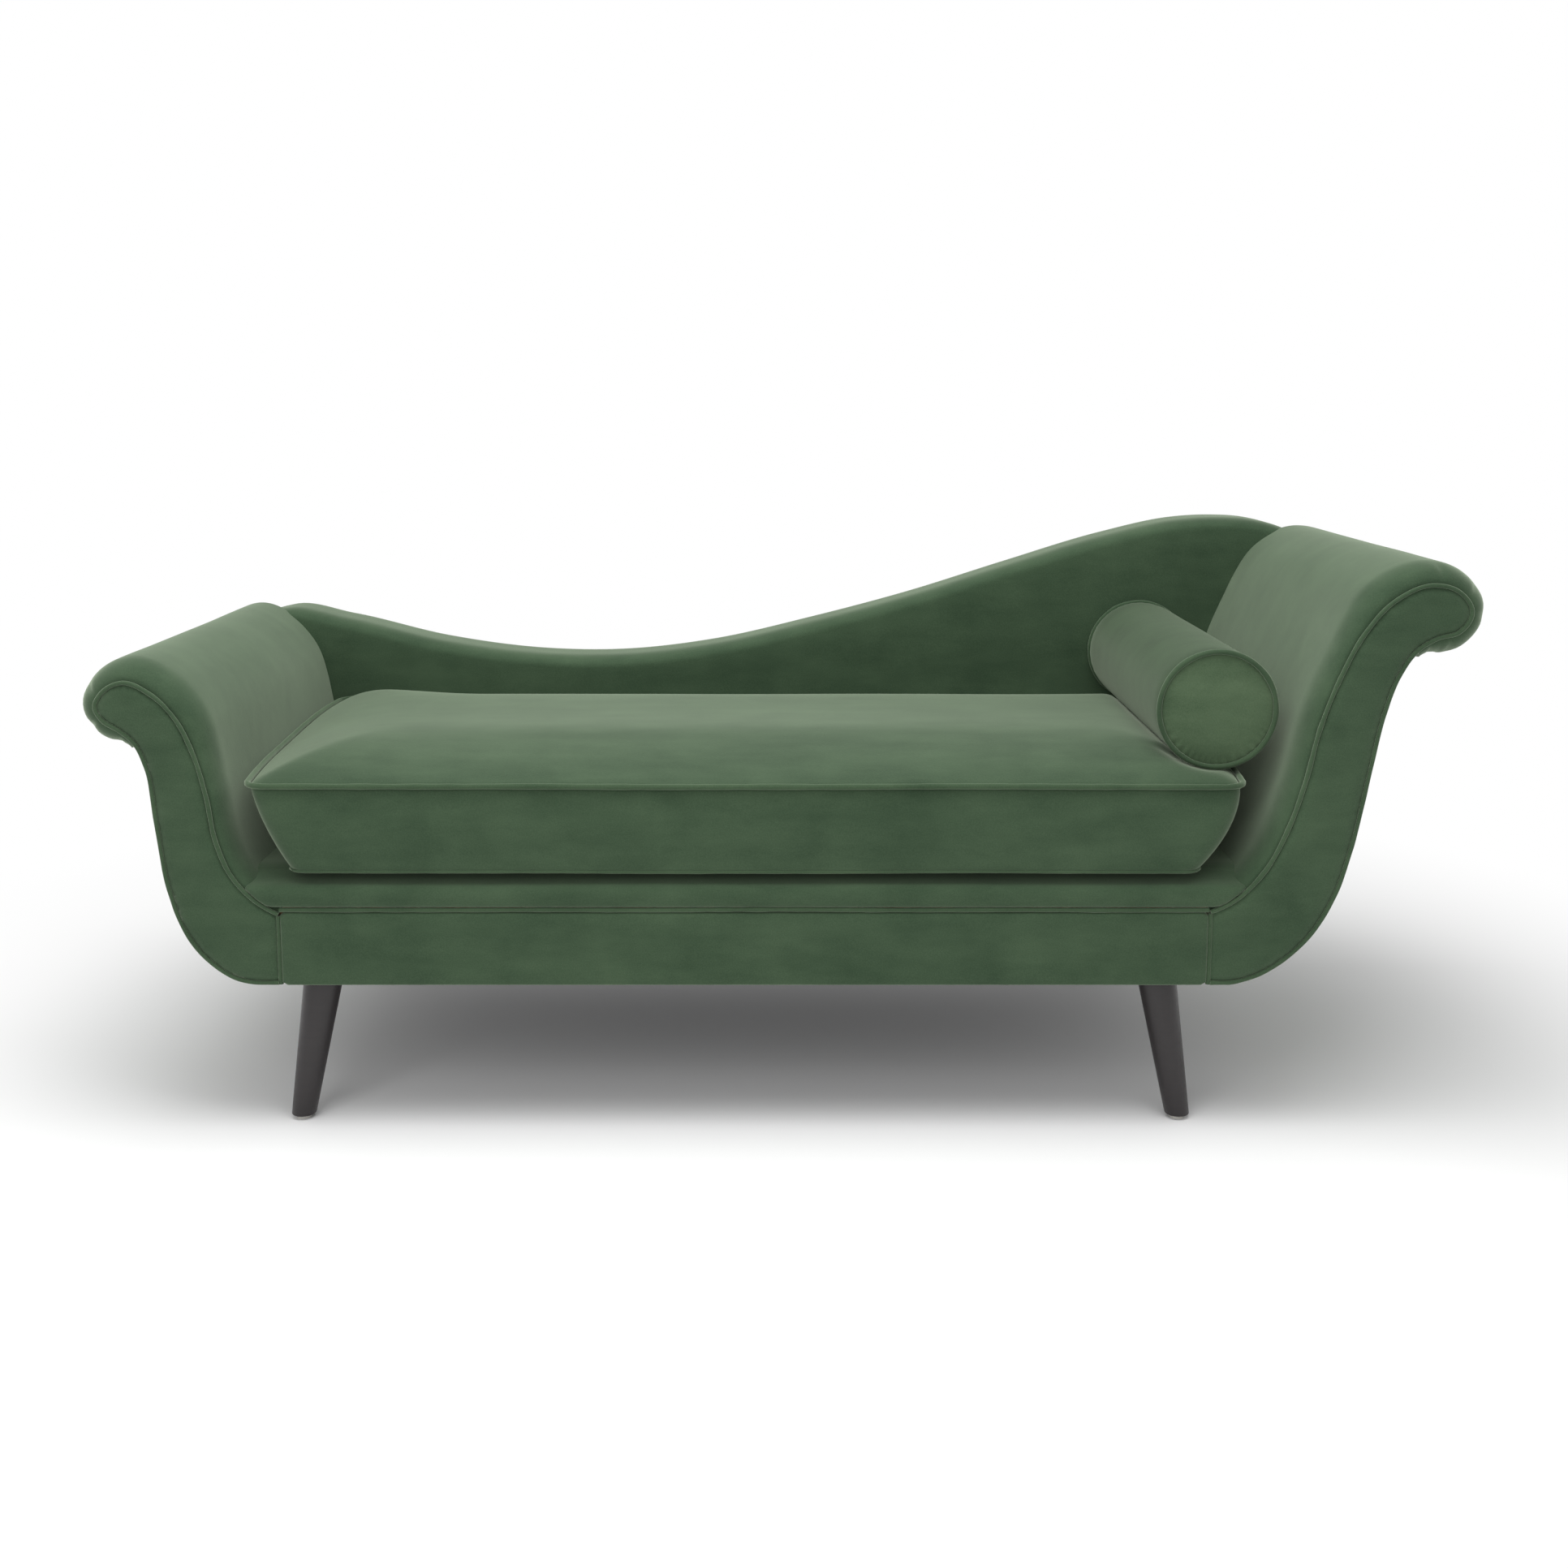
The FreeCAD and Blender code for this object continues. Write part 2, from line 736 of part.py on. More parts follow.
def main():
    os.makedirs("parts", exist_ok=True)

    legs = [leg_parts(name, x_side, y_side, top_x)
            for name, x_side, y_side, top_x in (
                ("front_left_leg", -1, -1, left_seam + leg_inset_left),
                ("front_right_leg", 1, -1, right_seam - leg_inset_right),
                ("rear_left_leg", -1, 1, left_seam + leg_inset_left),
                ("rear_right_leg", 1, 1, right_seam - leg_inset_right))]
    leg_fixings = [leg["bolt"] for leg in legs] + [screw for leg in legs for screw in leg["screws"]]
    for leg in legs:
        save(leg["name"], [leg["leg"]])
    save("leg_glides", [leg["glide"] for leg in legs])
    save("leg_plates", [leg["plate"] for leg in legs])
    save("hanger_bolts", [leg["bolt"] for leg in legs])
    save("leg_plate_screws", [screw for leg in legs for screw in leg["screws"]])

    blocks = [corner_block(leg) for leg in legs]
    block_screws = [screw for block, screws in blocks for screw in screws]
    end_screws = []
    for arm in arms:
        x = arm.seam + arm.side * (pad_depth + rail_thickness / 2)
        for level in frame_screw_levels:
            z = rail_bottom + rail_height * level
            front = Vector(x, frame_front, z)
            back = Vector(x, frame_back, z)
            run = Vector(0, frame_screw_length, 0)
            end_screws += [rod(screw_radius, front, front + run), rod(screw_radius, back, back - run)]
    frame_screws = block_screws + end_screws
    save("frame_screws", frame_screws)
    fixings = leg_fixings + frame_screws
    save("corner_blocks", [carve(block, fixings)[0] for block, screws in blocks])

    front_rail = box((rail_left, rail_right), (frame_front, front_rail_back),
                     (rail_bottom, rail_top))
    back_rail = box((rail_left, rail_right), (frame_start, frame_back), (rail_bottom, rail_top))
    front_boards = [arm.slab(-pad_depth, frame_front, frame_front + board_thickness)
                    for arm in arms]
    rear_boards = [arm.slab(-pad_depth, frame_back - board_thickness, frame_back)
                   for arm in arms]
    save("front_rail", carve(front_rail, fixings + front_boards))
    save("back_rail", carve(back_rail, fixings + rear_boards))
    end_rails = []
    for arm in arms:
        inner = arm.seam + arm.side * pad_depth
        outer = inner + arm.side * rail_thickness
        rail = box(sorted((inner, outer)), (frame_front + board_thickness + clear,
                                            frame_back - board_thickness - clear),
                   (rail_bottom, rail_top))
        end_rails.append(rail)
        save(arm.name + "_end_rail", carve(rail, fixings))
    half = cross_rail_width / 2
    save("seat_cross_rails", [box((x - half, x + half), (front_rail_back + clear,
                                                         frame_start - clear),
                                  (rail_bottom, rail_bottom + cross_rail_height))
                              for x in along_band(cross_rail_shares)])

    battens = []
    for arm, front_board, rear_board in zip(arms, front_boards, rear_boards):
        arm_strips = arm_battens(arm)
        battens += arm_strips
        save(arm.name + "_front_board", carve(front_board, end_screws))
        save(arm.name + "_rear_board", carve(rear_board, end_screws))
        save(arm.name + "_battens", arm_strips)

    top_rail_wire = strip_wire(back_top_curve, -top_rail_cover - top_rail_height,
                               -top_rail_cover, back_place(frame_start))
    save("back_top_rail", carve(prism(top_rail_wire, back_frame_depth), rear_boards + battens))
    half = post_width / 2
    under_rail = beside_wave(-top_rail_cover - top_rail_height - clear, overall_length,
                             back_front)
    posts = [box((x - half, x + half), (frame_start, frame_back),
                 (rail_top, overall_length)).cut(under_rail)
             for x in along_band(post_shares)]
    posts = [sorted(post.Solids, key=lambda solid: solid.CenterOfMass.z)[0] for post in posts]
    save("back_posts", posts)
    half = webbing_width / 2
    strap_back = frame_start - clear
    strap_top = beside_wave(-top_rail_cover - strap_lap, overall_length, back_front)
    straps = [box((x - half, x + half), (strap_back - webbing_thickness, strap_back),
                  (rail_top - strap_tail, overall_length)).cut(strap_top)
              for x in along_band(strap_shares)]
    straps = [sorted(strap.Solids, key=lambda solid: solid.CenterOfMass.z)[0]
              for strap in straps]
    save("back_webbing", straps)

    springs = []
    clips = []
    for x in along_band(spring_shares):
        edges, start, end = spring_path(x)
        spring = tube(edges, wire_radius)
        springs.append(spring)
        for y in (start, end):
            block = box((x - clip_length / 2, x + clip_length / 2),
                        (y - clip_width / 2, y + clip_width / 2), (rail_top, rail_top + clip_height))
            clips.append(block.cut(spring))
    save("seat_springs", springs)
    save("spring_clips", clips)

    fitted = [arm.envelope(clear) for arm in arms]
    fitted += [arm.slab(welt_radius + clear, -depth / 2, cover_front) for arm in arms]
    deck_left = left_seam - rail_height
    deck_right = right_seam + rail_height
    burlap = box((rail_left, rail_right), (frame_front, strap_back - webbing_thickness - clear),
                 (burlap_top - burlap_thickness, burlap_top))
    save("deck_burlap", [burlap])
    pad_front = trim_front + cloth
    pad_nose = nose(pad_front, deck_pad_top, nose_radius - cloth)
    lip = band_top + welt_radius + clear
    lip_back = frame_front - clear
    pad = profile_yz([[(pad_front, lip), pad_nose[0]], pad_nose,
                      [pad_nose[2], (arm_back, deck_pad_top)],
                      [(arm_back, deck_pad_top), (arm_back, deck_pad_bottom)],
                      [(arm_back, deck_pad_bottom), (lip_back, deck_pad_bottom)],
                      [(lip_back, deck_pad_bottom), (lip_back, lip)],
                      [(lip_back, lip), (pad_front, lip)]], deck_left, deck_right)
    save("deck_pad", carve(pad, fitted))
    cover_nose = nose(trim_front, deck_top, nose_radius)
    cover = profile_yz([[(trim_front, lip), cover_nose[0]], cover_nose,
                        [cover_nose[2], (arm_back, deck_top)],
                        [(arm_back, deck_top), (arm_back, deck_pad_top)],
                        [(arm_back, deck_pad_top), pad_nose[2]], pad_nose[::-1],
                        [pad_nose[0], (pad_front, lip)],
                        [(pad_front, lip), (trim_front, lip)]], deck_left, deck_right)
    save("deck_cover", carve(cover, fitted))

    seam_gap = welt_radius + clear
    band_x = (left_seam + seam_gap, right_seam - seam_gap)
    save("front_band", [box(band_x, (trim_front, trim_front + facing_thickness),
                            (base_height, band_top - seam_gap))])
    save("front_band_welt", [rod(welt_radius, Vector(band_x[0], welt_y, band_top),
                                 Vector(band_x[1], welt_y, band_top))])
    dust_top = rail_bottom - clear
    overlap = rail_thickness - clear
    dust_cover = box((rail_left - overlap, rail_right + overlap), (frame_front, frame_back),
                     (dust_top - dust_cover_thickness, dust_top))
    plate_holes = [box((leg["x"] - plate_size / 2 - clear, leg["x"] + plate_size / 2 + clear),
                       (leg["y"] - plate_size / 2 - clear, leg["y"] + plate_size / 2 + clear),
                       (base_height, rail_bottom)) for leg in legs]
    save("dust_cover", carve(dust_cover, plate_holes))

    for arm, end_rail in zip(arms, end_rails):
        padding = arm.skin(arm.inside, -pad_depth, lambda y: roll_swell(y) - cloth,
                           frame_front, arm_back)
        save(arm.name + "_padding", carve(padding, [end_rail]))
        save(arm.name + "_cover", [arm.skin(arm.inside, lambda y: roll_swell(y) - cloth,
                                            roll_swell, cover_front, arm_back)])
        save(arm.name + "_facing", [arm.slab(-seam_gap, trim_front,
                                             trim_front + facing_thickness)])
        save(arm.name + "_facing_welt", facing_welt(arm))
        panel = arm.skin(arm.outside, clear - pad_depth, lambda y: swell(y, panel_bulge),
                         cover_front, cover_back)
        behind_facing = arm.slab(clear - seam_gap, trim_front, frame_front)
        save(arm.name + "_outside_panel", carve(panel, [behind_facing]))

    slots = [outside_slot(arm) for arm in arms]
    outer_body = back_body(0.0)
    inner_body = back_body(cloth)
    save("back_cover", carve(outer_body, [inner_body, below_deck] + slots + battens))
    frame_space = beside_wave(-top_rail_cover, 0.0, strap_back - webbing_thickness - clear)
    save("back_padding", carve(inner_body, [frame_space, below_deck] + slots + battens
                               + rear_boards))
    save("back_outside_panel", [prism(back_wire(outside_back_inset, panel_front),
                                      outside_panel_thickness)])

    cushion = carve(cushion_body(0.0), [bolster_trough(0.0)])[0]
    cushion_core = carve(cushion_body(cloth), [bolster_trough(cloth)])[0]
    save("cushion_cover", [cushion.cut(cushion_core)])
    save("cushion_core", [cushion_core])
    save("cushion_welts", [cushion_welt(top_seam + cushion_welt_lift, 1.0),
                           cushion_welt(lower_seam - cushion_welt_lift, 0.0)])
    zip_at = Vector((cushion_left_back + cushion_right_back) / 2,
                    cushion_back + cushion_puff + clear, (lower_seam + top_seam) / 2)
    along_x = Vector(1, 0, 0)
    along_y = Vector(0, 1, 0)
    save("cushion_zip", [turned(zip_tape(zip_length), along_x, along_y, zip_at)])
    save("cushion_zip_slider", [turned(zip_slider(zip_length), along_x, along_y, zip_at)])

    outer = bolster_side(0.0, 0.0)
    inner = bolster_side(cloth, 0.0)
    front_line = [(inner[0][0], outer[0][0])]
    back_line = [(outer[2][2], inner[2][2])]
    save("bolster_cover", [bolster_turn(front_line + outer + back_line
                                        + reversed_outline(inner))])
    rim = bolster_seam_radius - cloth - clear
    ends = []
    outer_dome = dome(rim, bolster_dome, 0.0)
    inner_dome = dome(rim, bolster_dome, cloth)
    for flip in (False, True):
        outline = [outer_dome, [outer_dome[2], inner_dome[2]], inner_dome[::-1],
                   [inner_dome[0], outer_dome[0]]]
        if flip:
            outline = [[(radius, bolster_span - along) for radius, along in item]
                       for item in outline]
        ends.append(bolster_turn(outline))
    save("bolster_end_panels", ends)
    fill_end = cloth + clear
    fill_dome = dome(rim - clear, bolster_dome, fill_end)
    fill_side = bolster_side(cloth + 2 * clear, fill_end)
    back_dome = [(radius, bolster_span - along) for radius, along in fill_dome[::-1]]
    save("bolster_core", [bolster_turn([fill_dome] + fill_side
                                       + [back_dome, [back_dome[2], fill_dome[0]]])])
    stand = bolster_welt_radius + clear
    welts = [Part.makeTorus(bolster_seam_radius, bolster_welt_radius,
                            Vector(bolster_x, y, bolster_z), along_y)
             for y in (bolster_seam_front - stand, bolster_seam_front + bolster_span + stand)]
    save("bolster_welts", welts)
    tilt = math.radians(bolster_zip_angle)
    outward = Vector(math.cos(tilt), 0, math.sin(tilt))
    zip_at = Vector(bolster_x, bolster_seam_front + bolster_span / 2, bolster_z) \
        + outward * (bolster_radius + clear)
    save("bolster_zip", [turned(zip_tape(bolster_zip_length), along_y, outward, zip_at)])
    save("bolster_zip_slider", [turned(zip_slider(bolster_zip_length), along_y, outward,
                                       zip_at)])


main()
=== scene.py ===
"""Chaise longue in green velvet: two scroll arms, wave back, seat cushion and bolster."""

import logging
import math
from dataclasses import dataclass
from enum import Enum
from typing import Callable, Iterable, Optional, Sequence, Union

import bmesh
import bpy
import numpy as np
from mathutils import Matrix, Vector, geometry, noise


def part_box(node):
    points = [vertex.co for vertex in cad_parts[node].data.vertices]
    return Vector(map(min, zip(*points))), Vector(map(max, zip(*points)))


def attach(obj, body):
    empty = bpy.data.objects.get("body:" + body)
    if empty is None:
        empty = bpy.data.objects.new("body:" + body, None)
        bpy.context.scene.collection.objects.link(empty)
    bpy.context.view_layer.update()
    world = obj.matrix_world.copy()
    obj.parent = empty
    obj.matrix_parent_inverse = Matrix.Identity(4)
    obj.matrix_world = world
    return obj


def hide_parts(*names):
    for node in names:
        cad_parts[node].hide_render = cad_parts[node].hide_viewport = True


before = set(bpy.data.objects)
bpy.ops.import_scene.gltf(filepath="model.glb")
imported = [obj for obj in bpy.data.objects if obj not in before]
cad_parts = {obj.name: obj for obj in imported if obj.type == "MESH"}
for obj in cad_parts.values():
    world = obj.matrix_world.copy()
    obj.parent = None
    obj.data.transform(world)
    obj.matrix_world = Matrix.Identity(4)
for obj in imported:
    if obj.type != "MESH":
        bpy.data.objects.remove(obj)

log = logging.getLogger("chaise_longue")
MM = 0.001
Row = list[Vector]


class Body(Enum):
    """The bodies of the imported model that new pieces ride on."""

    FRAME = "frame"
    CUSHION = "seat_cushion"
    BOLSTER = "bolster"


class Slot(Enum):
    """The record's material slots, by name."""

    VELVET = "velvet"
    LEG_TIMBER = "leg_timber"


# Colours and nodes
def linear(hex_colour: str) -> tuple[float, float, float, float]:
    """Turn an sRGB hex colour to linear.

    Args:
        hex_colour: The colour as "#rrggbb".

    Returns:
        Red, green, blue and alpha.
    """
    parts = [int(hex_colour[at:at + 2], 16) / 255 for at in (1, 3, 5)]
    red, green, blue = [part / 12.92 if part <= 0.04045 else ((part + 0.055) / 1.055) ** 2.4
                        for part in parts]
    return red, green, blue, 1.0


def add_node(tree: bpy.types.NodeTree, kind: str, inputs: Optional[dict] = None,
             **settings: object) -> bpy.types.Node:
    """Add a node with its settings, values and links.

    Args:
        tree: The node tree.
        kind: The node's type name.
        inputs: Values or output sockets for the node's inputs, by name or number.
        settings: The node's own settings.

    Returns:
        The new node.
    """
    node = tree.nodes.new(kind)
    for name, value in settings.items():
        setattr(node, name, value)
    for name, value in (inputs or {}).items():
        if isinstance(value, bpy.types.NodeSocket):
            tree.links.new(value, node.inputs[name])
        else:
            node.inputs[name].default_value = value
    return node


def new_material(name: str
                 ) -> tuple[bpy.types.Material, bpy.types.NodeTree, bpy.types.NodeSocket]:
    """Start an empty node material.

    Args:
        name: The material's name.

    Returns:
        The material, its node tree and the place on the object.
    """
    material = bpy.data.materials.new(name)
    material.use_nodes = True
    tree = material.node_tree
    tree.nodes.clear()
    return material, tree, add_node(tree, "ShaderNodeTexCoord").outputs["Object"]


def finish_surface(tree: bpy.types.NodeTree, height: bpy.types.NodeSocket, strength: float,
                   depth_mm: float, inputs: dict) -> None:
    """Close a material with its relief and its shader.

    Args:
        tree: The node tree.
        height: The pattern that stands up from the surface.
        strength: How much of it shows.
        depth_mm: How deep it is.
        inputs: The shader's other inputs.
    """
    bump = add_node(tree, "ShaderNodeBump",
                    {"Height": height, "Strength": strength, "Distance": depth_mm * MM})
    shader = add_node(tree, "ShaderNodeBsdfPrincipled", {**inputs, "Normal": bump.outputs[0]})
    add_node(tree, "ShaderNodeOutputMaterial", {"Surface": shader.outputs[0]})


# Finishes
@dataclass(frozen=True)
class Velvet:
    """Cut-pile velvet: deep green end-on, paler where the pile is seen side-on or is brushed."""

    name: str = "cut_pile_velvet_green"
    deep: str = "#2e422e"
    brushed: str = "#42563f"
    sheen_tint: str = "#d3e2c8"
    sheen_weight: float = 0.74
    sheen_roughness: float = 0.42
    roughness: float = 0.88
    specular: float = 0.22
    patch_mm: float = 95.0
    streak_mm: tuple[float, float, float] = (110.0, 26.0, 32.0)
    # Real pile is finer than a pixel; 1.8 mm flecks are as fine as shows.
    pile_mm: float = 1.8
    pile_depth_mm: float = 0.35

    def material(self) -> bpy.types.Material:
        """Build the velvet with its brushed patches, streaks and pile grain."""
        material, tree, place = new_material(self.name)
        patches = add_node(tree, "ShaderNodeTexNoise",
                           {"Vector": place, "Scale": 1 / (self.patch_mm * MM),
                            "Detail": 3.0, "Roughness": 0.55, "Distortion": 0.4})
        stretched = add_node(tree, "ShaderNodeMapping",
                             {"Vector": place,
                              "Scale": [1 / (size * MM) for size in self.streak_mm]})
        streaks = add_node(tree, "ShaderNodeTexNoise",
                           {"Vector": stretched.outputs[0], "Scale": 1.0, "Detail": 4.0,
                            "Roughness": 0.6})
        pile = add_node(tree, "ShaderNodeTexNoise",
                        {"Vector": place, "Scale": 1 / (self.pile_mm * MM), "Detail": 2.0,
                         "Roughness": 0.7})
        both = add_node(tree, "ShaderNodeMath",
                        {0: patches.outputs[0], 1: streaks.outputs[0]}, operation="ADD")
        grained = add_node(tree, "ShaderNodeMath",
                           {0: pile.outputs[0], 1: 0.9, 2: both.outputs[0]},
                           operation="MULTIPLY_ADD")
        spread = add_node(tree, "ShaderNodeMapRange",
                          {"Value": grained.outputs[0], "From Min": 1.05, "From Max": 1.85})
        colour = add_node(tree, "ShaderNodeMix",
                          {0: spread.outputs[0], 6: linear(self.deep),
                           7: linear(self.brushed)}, data_type="RGBA")
        finish_surface(tree, pile.outputs[0], 0.35, self.pile_depth_mm,
                       {"Base Color": colour.outputs[2], "Roughness": self.roughness,
                        "Specular IOR Level": self.specular,
                        "Sheen Weight": self.sheen_weight,
                        "Sheen Roughness": self.sheen_roughness,
                        "Sheen Tint": linear(self.sheen_tint)})
        return material


@dataclass(frozen=True)
class Timber:
    """Planed timber: long grain lines along the piece, with finer pores between them."""

    name: str
    pale: str
    dark: str
    roughness: float
    coat: float = 0.0
    grain_mm: tuple[float, float, float] = (90.0, 7.0, 7.0)
    pore_mm: float = 1.2

    def material(self) -> bpy.types.Material:
        """Build the timber with its grain in colour, roughness and relief."""
        material, tree, place = new_material(self.name)
        along = add_node(tree, "ShaderNodeMapping",
                         {"Vector": place, "Scale": [1 / (size * MM) for size in self.grain_mm]})
        grain = add_node(tree, "ShaderNodeTexNoise",
                         {"Vector": along.outputs[0], "Scale": 1.0, "Detail": 6.0,
                          "Roughness": 0.62, "Distortion": 0.8})
        pores = add_node(tree, "ShaderNodeTexNoise",
                         {"Vector": place, "Scale": 1 / (self.pore_mm * MM), "Detail": 1.0})
        colour = add_node(tree, "ShaderNodeMix",
                          {0: grain.outputs[0], 6: linear(self.pale), 7: linear(self.dark)},
                          data_type="RGBA")
        rough = add_node(tree, "ShaderNodeMapRange",
                         {"Value": grain.outputs[0], "To Min": self.roughness - 0.08,
                          "To Max": self.roughness + 0.1})
        finish_surface(tree, pores.outputs[0], 0.15, 0.1,
                       {"Base Color": colour.outputs[2], "Roughness": rough.outputs[0],
                        "Coat Weight": self.coat, "Coat Roughness": 0.25})
        return material


@dataclass(frozen=True)
class Metal:
    """Drawn or pressed metal: a fine directionless grain in its gloss."""

    name: str
    colour: str
    roughness: float
    grain_mm: float = 2.0

    def material(self) -> bpy.types.Material:
        """Build the metal with its uneven gloss and faint relief."""
        material, tree, place = new_material(self.name)
        grain = add_node(tree, "ShaderNodeTexNoise",
                         {"Vector": place, "Scale": 1 / (self.grain_mm * MM), "Detail": 4.0})
        rough = add_node(tree, "ShaderNodeMapRange",
                         {"Value": grain.outputs[0], "To Min": self.roughness - 0.06,
                          "To Max": self.roughness + 0.12})
        finish_surface(tree, grain.outputs[0], 0.1, 0.05,
                       {"Base Color": linear(self.colour), "Metallic": 1.0,
                        "Roughness": rough.outputs[0]})
        return material


@dataclass(frozen=True)
class Woven:
    """Plain woven or spun cloth and tape: crossing threads in colour and relief, with painted shade
    in the gaps between them.
    """

    name: str
    thread: str
    gap: str
    pitch_mm: float
    roughness: float = 0.9

    def material(self) -> bpy.types.Material:
        """Build the cloth from two crossed runs of threads."""
        material, tree, place = new_material(self.name)
        runs = []
        for direction in ("X", "Y"):
            run = add_node(tree, "ShaderNodeTexWave",
                           {"Vector": place, "Scale": 0.314 / (self.pitch_mm * MM),
                            "Distortion": 0.6, "Detail": 1.0},
                           wave_type="BANDS", bands_direction=direction)
            runs.append(run.outputs[1])
        weave = add_node(tree, "ShaderNodeMath", {0: runs[0], 1: runs[1]}, operation="MAXIMUM")
        # The gap colour darkens the holes between the threads: painted shade.
        colour = add_node(tree, "ShaderNodeMix",
                          {0: weave.outputs[0], 6: linear(self.gap), 7: linear(self.thread)},
                          data_type="RGBA")
        finish_surface(tree, weave.outputs[0], 0.4, 0.3,
                       {"Base Color": colour.outputs[2], "Roughness": self.roughness})
        return material


@dataclass(frozen=True)
class Moulded:
    """Moulded plastic or foam: an even colour with a fine cell or mould texture."""

    name: str
    colour: str
    shade: str
    roughness: float
    cell_mm: float

    def material(self) -> bpy.types.Material:
        """Build the moulded surface."""
        material, tree, place = new_material(self.name)
        cells = add_node(tree, "ShaderNodeTexNoise",
                         {"Vector": place, "Scale": 1 / (self.cell_mm * MM), "Detail": 3.0})
        colour = add_node(tree, "ShaderNodeMix",
                          {0: cells.outputs[0], 6: linear(self.colour), 7: linear(self.shade)},
                          data_type="RGBA")
        finish_surface(tree, cells.outputs[0], 0.3, 0.2,
                       {"Base Color": colour.outputs[2], "Roughness": self.roughness})
        return material


Finish = Union[Velvet, Timber, Metal, Woven, Moulded]


class Wardrobe:
    """Makes each finish once and hands it out."""

    def __init__(self) -> None:
        """Start with no finish made."""
        self.made: dict[Finish, bpy.types.Material] = {}

    def get(self, finish: Finish) -> bpy.types.Material:
        """Give the material of a finish.

        Args:
            finish: The finish.

        Returns:
            Its one material.
        """
        if finish not in self.made:
            self.made[finish] = finish.material()
        return self.made[finish]


wardrobe = Wardrobe()
VELVET = Velvet()
# Painted shade: the bolster's side is the same velvet made darker, with less sheen, so that it
# looks shaded.
BOLSTER_SIDE_PAINTED_SHADE_VELVET = Velvet(name="cut_pile_velvet_bolster_side_painted_shade", deep="#20331f", brushed="#31462e",
                        sheen_weight=0.4)
# Painted light: the bolster's end discs are the same velvet made paler, so that they look lit.
DISC_PAINTED_LIGHT_VELVET = Velvet(name="cut_pile_velvet_disc_painted_light", deep="#3f533b", brushed="#566a4f")
PIPING_VELVET = Velvet(name="cut_pile_velvet_piping", deep="#30442f", brushed="#43573f",
                       pile_depth_mm=0.2)
BEECH = Timber("planed_beech", "#c9a77c", "#a98457", 0.6)
STAINED_WOOD = Timber("espresso_stained_beech", "#211a1b", "#140f10", 0.42, coat=0.15)
SPRING_STEEL = Metal("drawn_spring_steel", "#8d8f90", 0.35)
ZINC_STEEL = Metal("zinc_plated_steel", "#b4b7b8", 0.3)
# Each woven cloth's second colour is painted shade in the gaps between its threads.
WEBBING = Woven("jute_webbing", "#b79a6c", "#8d7348", 2.4)
BURLAP = Woven("jute_burlap", "#bda074", "#7d6440", 2.0)
CAMBRIC = Woven("black_spun_cambric", "#26262a", "#17171a", 1.2)
ZIP_CLOTH = Woven("green_zip_tape", "#40583f", "#2f4632", 0.9, 0.8)
ZIP_BRASS = Metal("antique_brass", "#7d6a42", 0.35)
GLIDE_NYLON = Moulded("pale_nylon_glide", "#d8d6cf", "#c6c3ba", 0.45, 0.8)


# Meshes
def make_piece(name: str, vertices: Sequence[Vector], faces: Sequence[Sequence[int]],
               recalculate: bool = True, angle: float = 50.0) -> bpy.types.Object:
    """Make a smooth-shaded mesh object at the origin.

    Args:
        name: The piece's name.
        vertices: Its points, in metres.
        faces: Its faces.
        recalculate: Whether its normals are turned outwards.
        angle: The sharpest edge that is still shaded smooth, in degrees.

    Returns:
        The new object.
    """
    mesh = bpy.data.meshes.new(name)
    mesh.from_pydata([tuple(point) for point in vertices], [], faces)
    built = bmesh.new()
    built.from_mesh(mesh)
    bmesh.ops.remove_doubles(built, verts=built.verts, dist=0.02 * MM)
    if recalculate:
        bmesh.ops.recalc_face_normals(built, faces=built.faces)
    built.to_mesh(mesh)
    built.free()
    piece = bpy.data.objects.new(name, mesh)
    bpy.context.scene.collection.objects.link(piece)
    select_only(piece)
    bpy.ops.object.shade_smooth_by_angle(angle=math.radians(angle))
    return piece


def select_only(piece: bpy.types.Object) -> None:
    """Select one object and make it active."""
    bpy.ops.object.select_all(action="DESELECT")
    piece.select_set(True)
    bpy.context.view_layer.objects.active = piece


def grid(rows: int, columns: int, start: int = 0, round_rows: bool = False,
         round_columns: bool = False) -> list[tuple[int, int, int, int]]:
    """Faces of a grid of points stored row after row.

    Args:
        rows: How many rows of points.
        columns: How many points in a row.
        start: The number of the first point.
        round_rows: Whether the last row joins the first.
        round_columns: Whether a row's last point joins its first.

    Returns:
        The quads.
    """
    faces = []
    for row in range(rows if round_rows else rows - 1):
        for column in range(columns if round_columns else columns - 1):
            near, far = start + row * columns, start + (row + 1) % rows * columns
            after = (column + 1) % columns
            faces.append((near + column, near + after, far + after, far + column))
    return faces


def thick_sheet(name: str, outer: list[Row], inner: list[Row]) -> bpy.types.Object:
    """Join an outer and an inner grid of points to a closed padded layer.

    Args:
        name: The piece's name.
        outer: Rows of the outer face.
        inner: Rows of the inner face, as many and as long.

    Returns:
        The closed piece.
    """
    rows, columns = len(outer), len(outer[0])
    points = [point for row in outer for point in row]
    points += [point for row in inner for point in row]
    shift = rows * columns
    faces = grid(rows, columns)
    faces += [tuple(reversed(face)) for face in grid(rows, columns, shift)]
    rim = list(range(columns))
    rim += [row * columns + columns - 1 for row in range(1, rows)]
    rim += [(rows - 1) * columns + column for column in range(columns - 2, -1, -1)]
    rim += [row * columns for row in range(rows - 2, 0, -1)]
    for here, after in zip(rim, rim[1:] + rim[:1]):
        faces.append((after, here, here + shift, after + shift))
    return make_piece(name, points, faces)


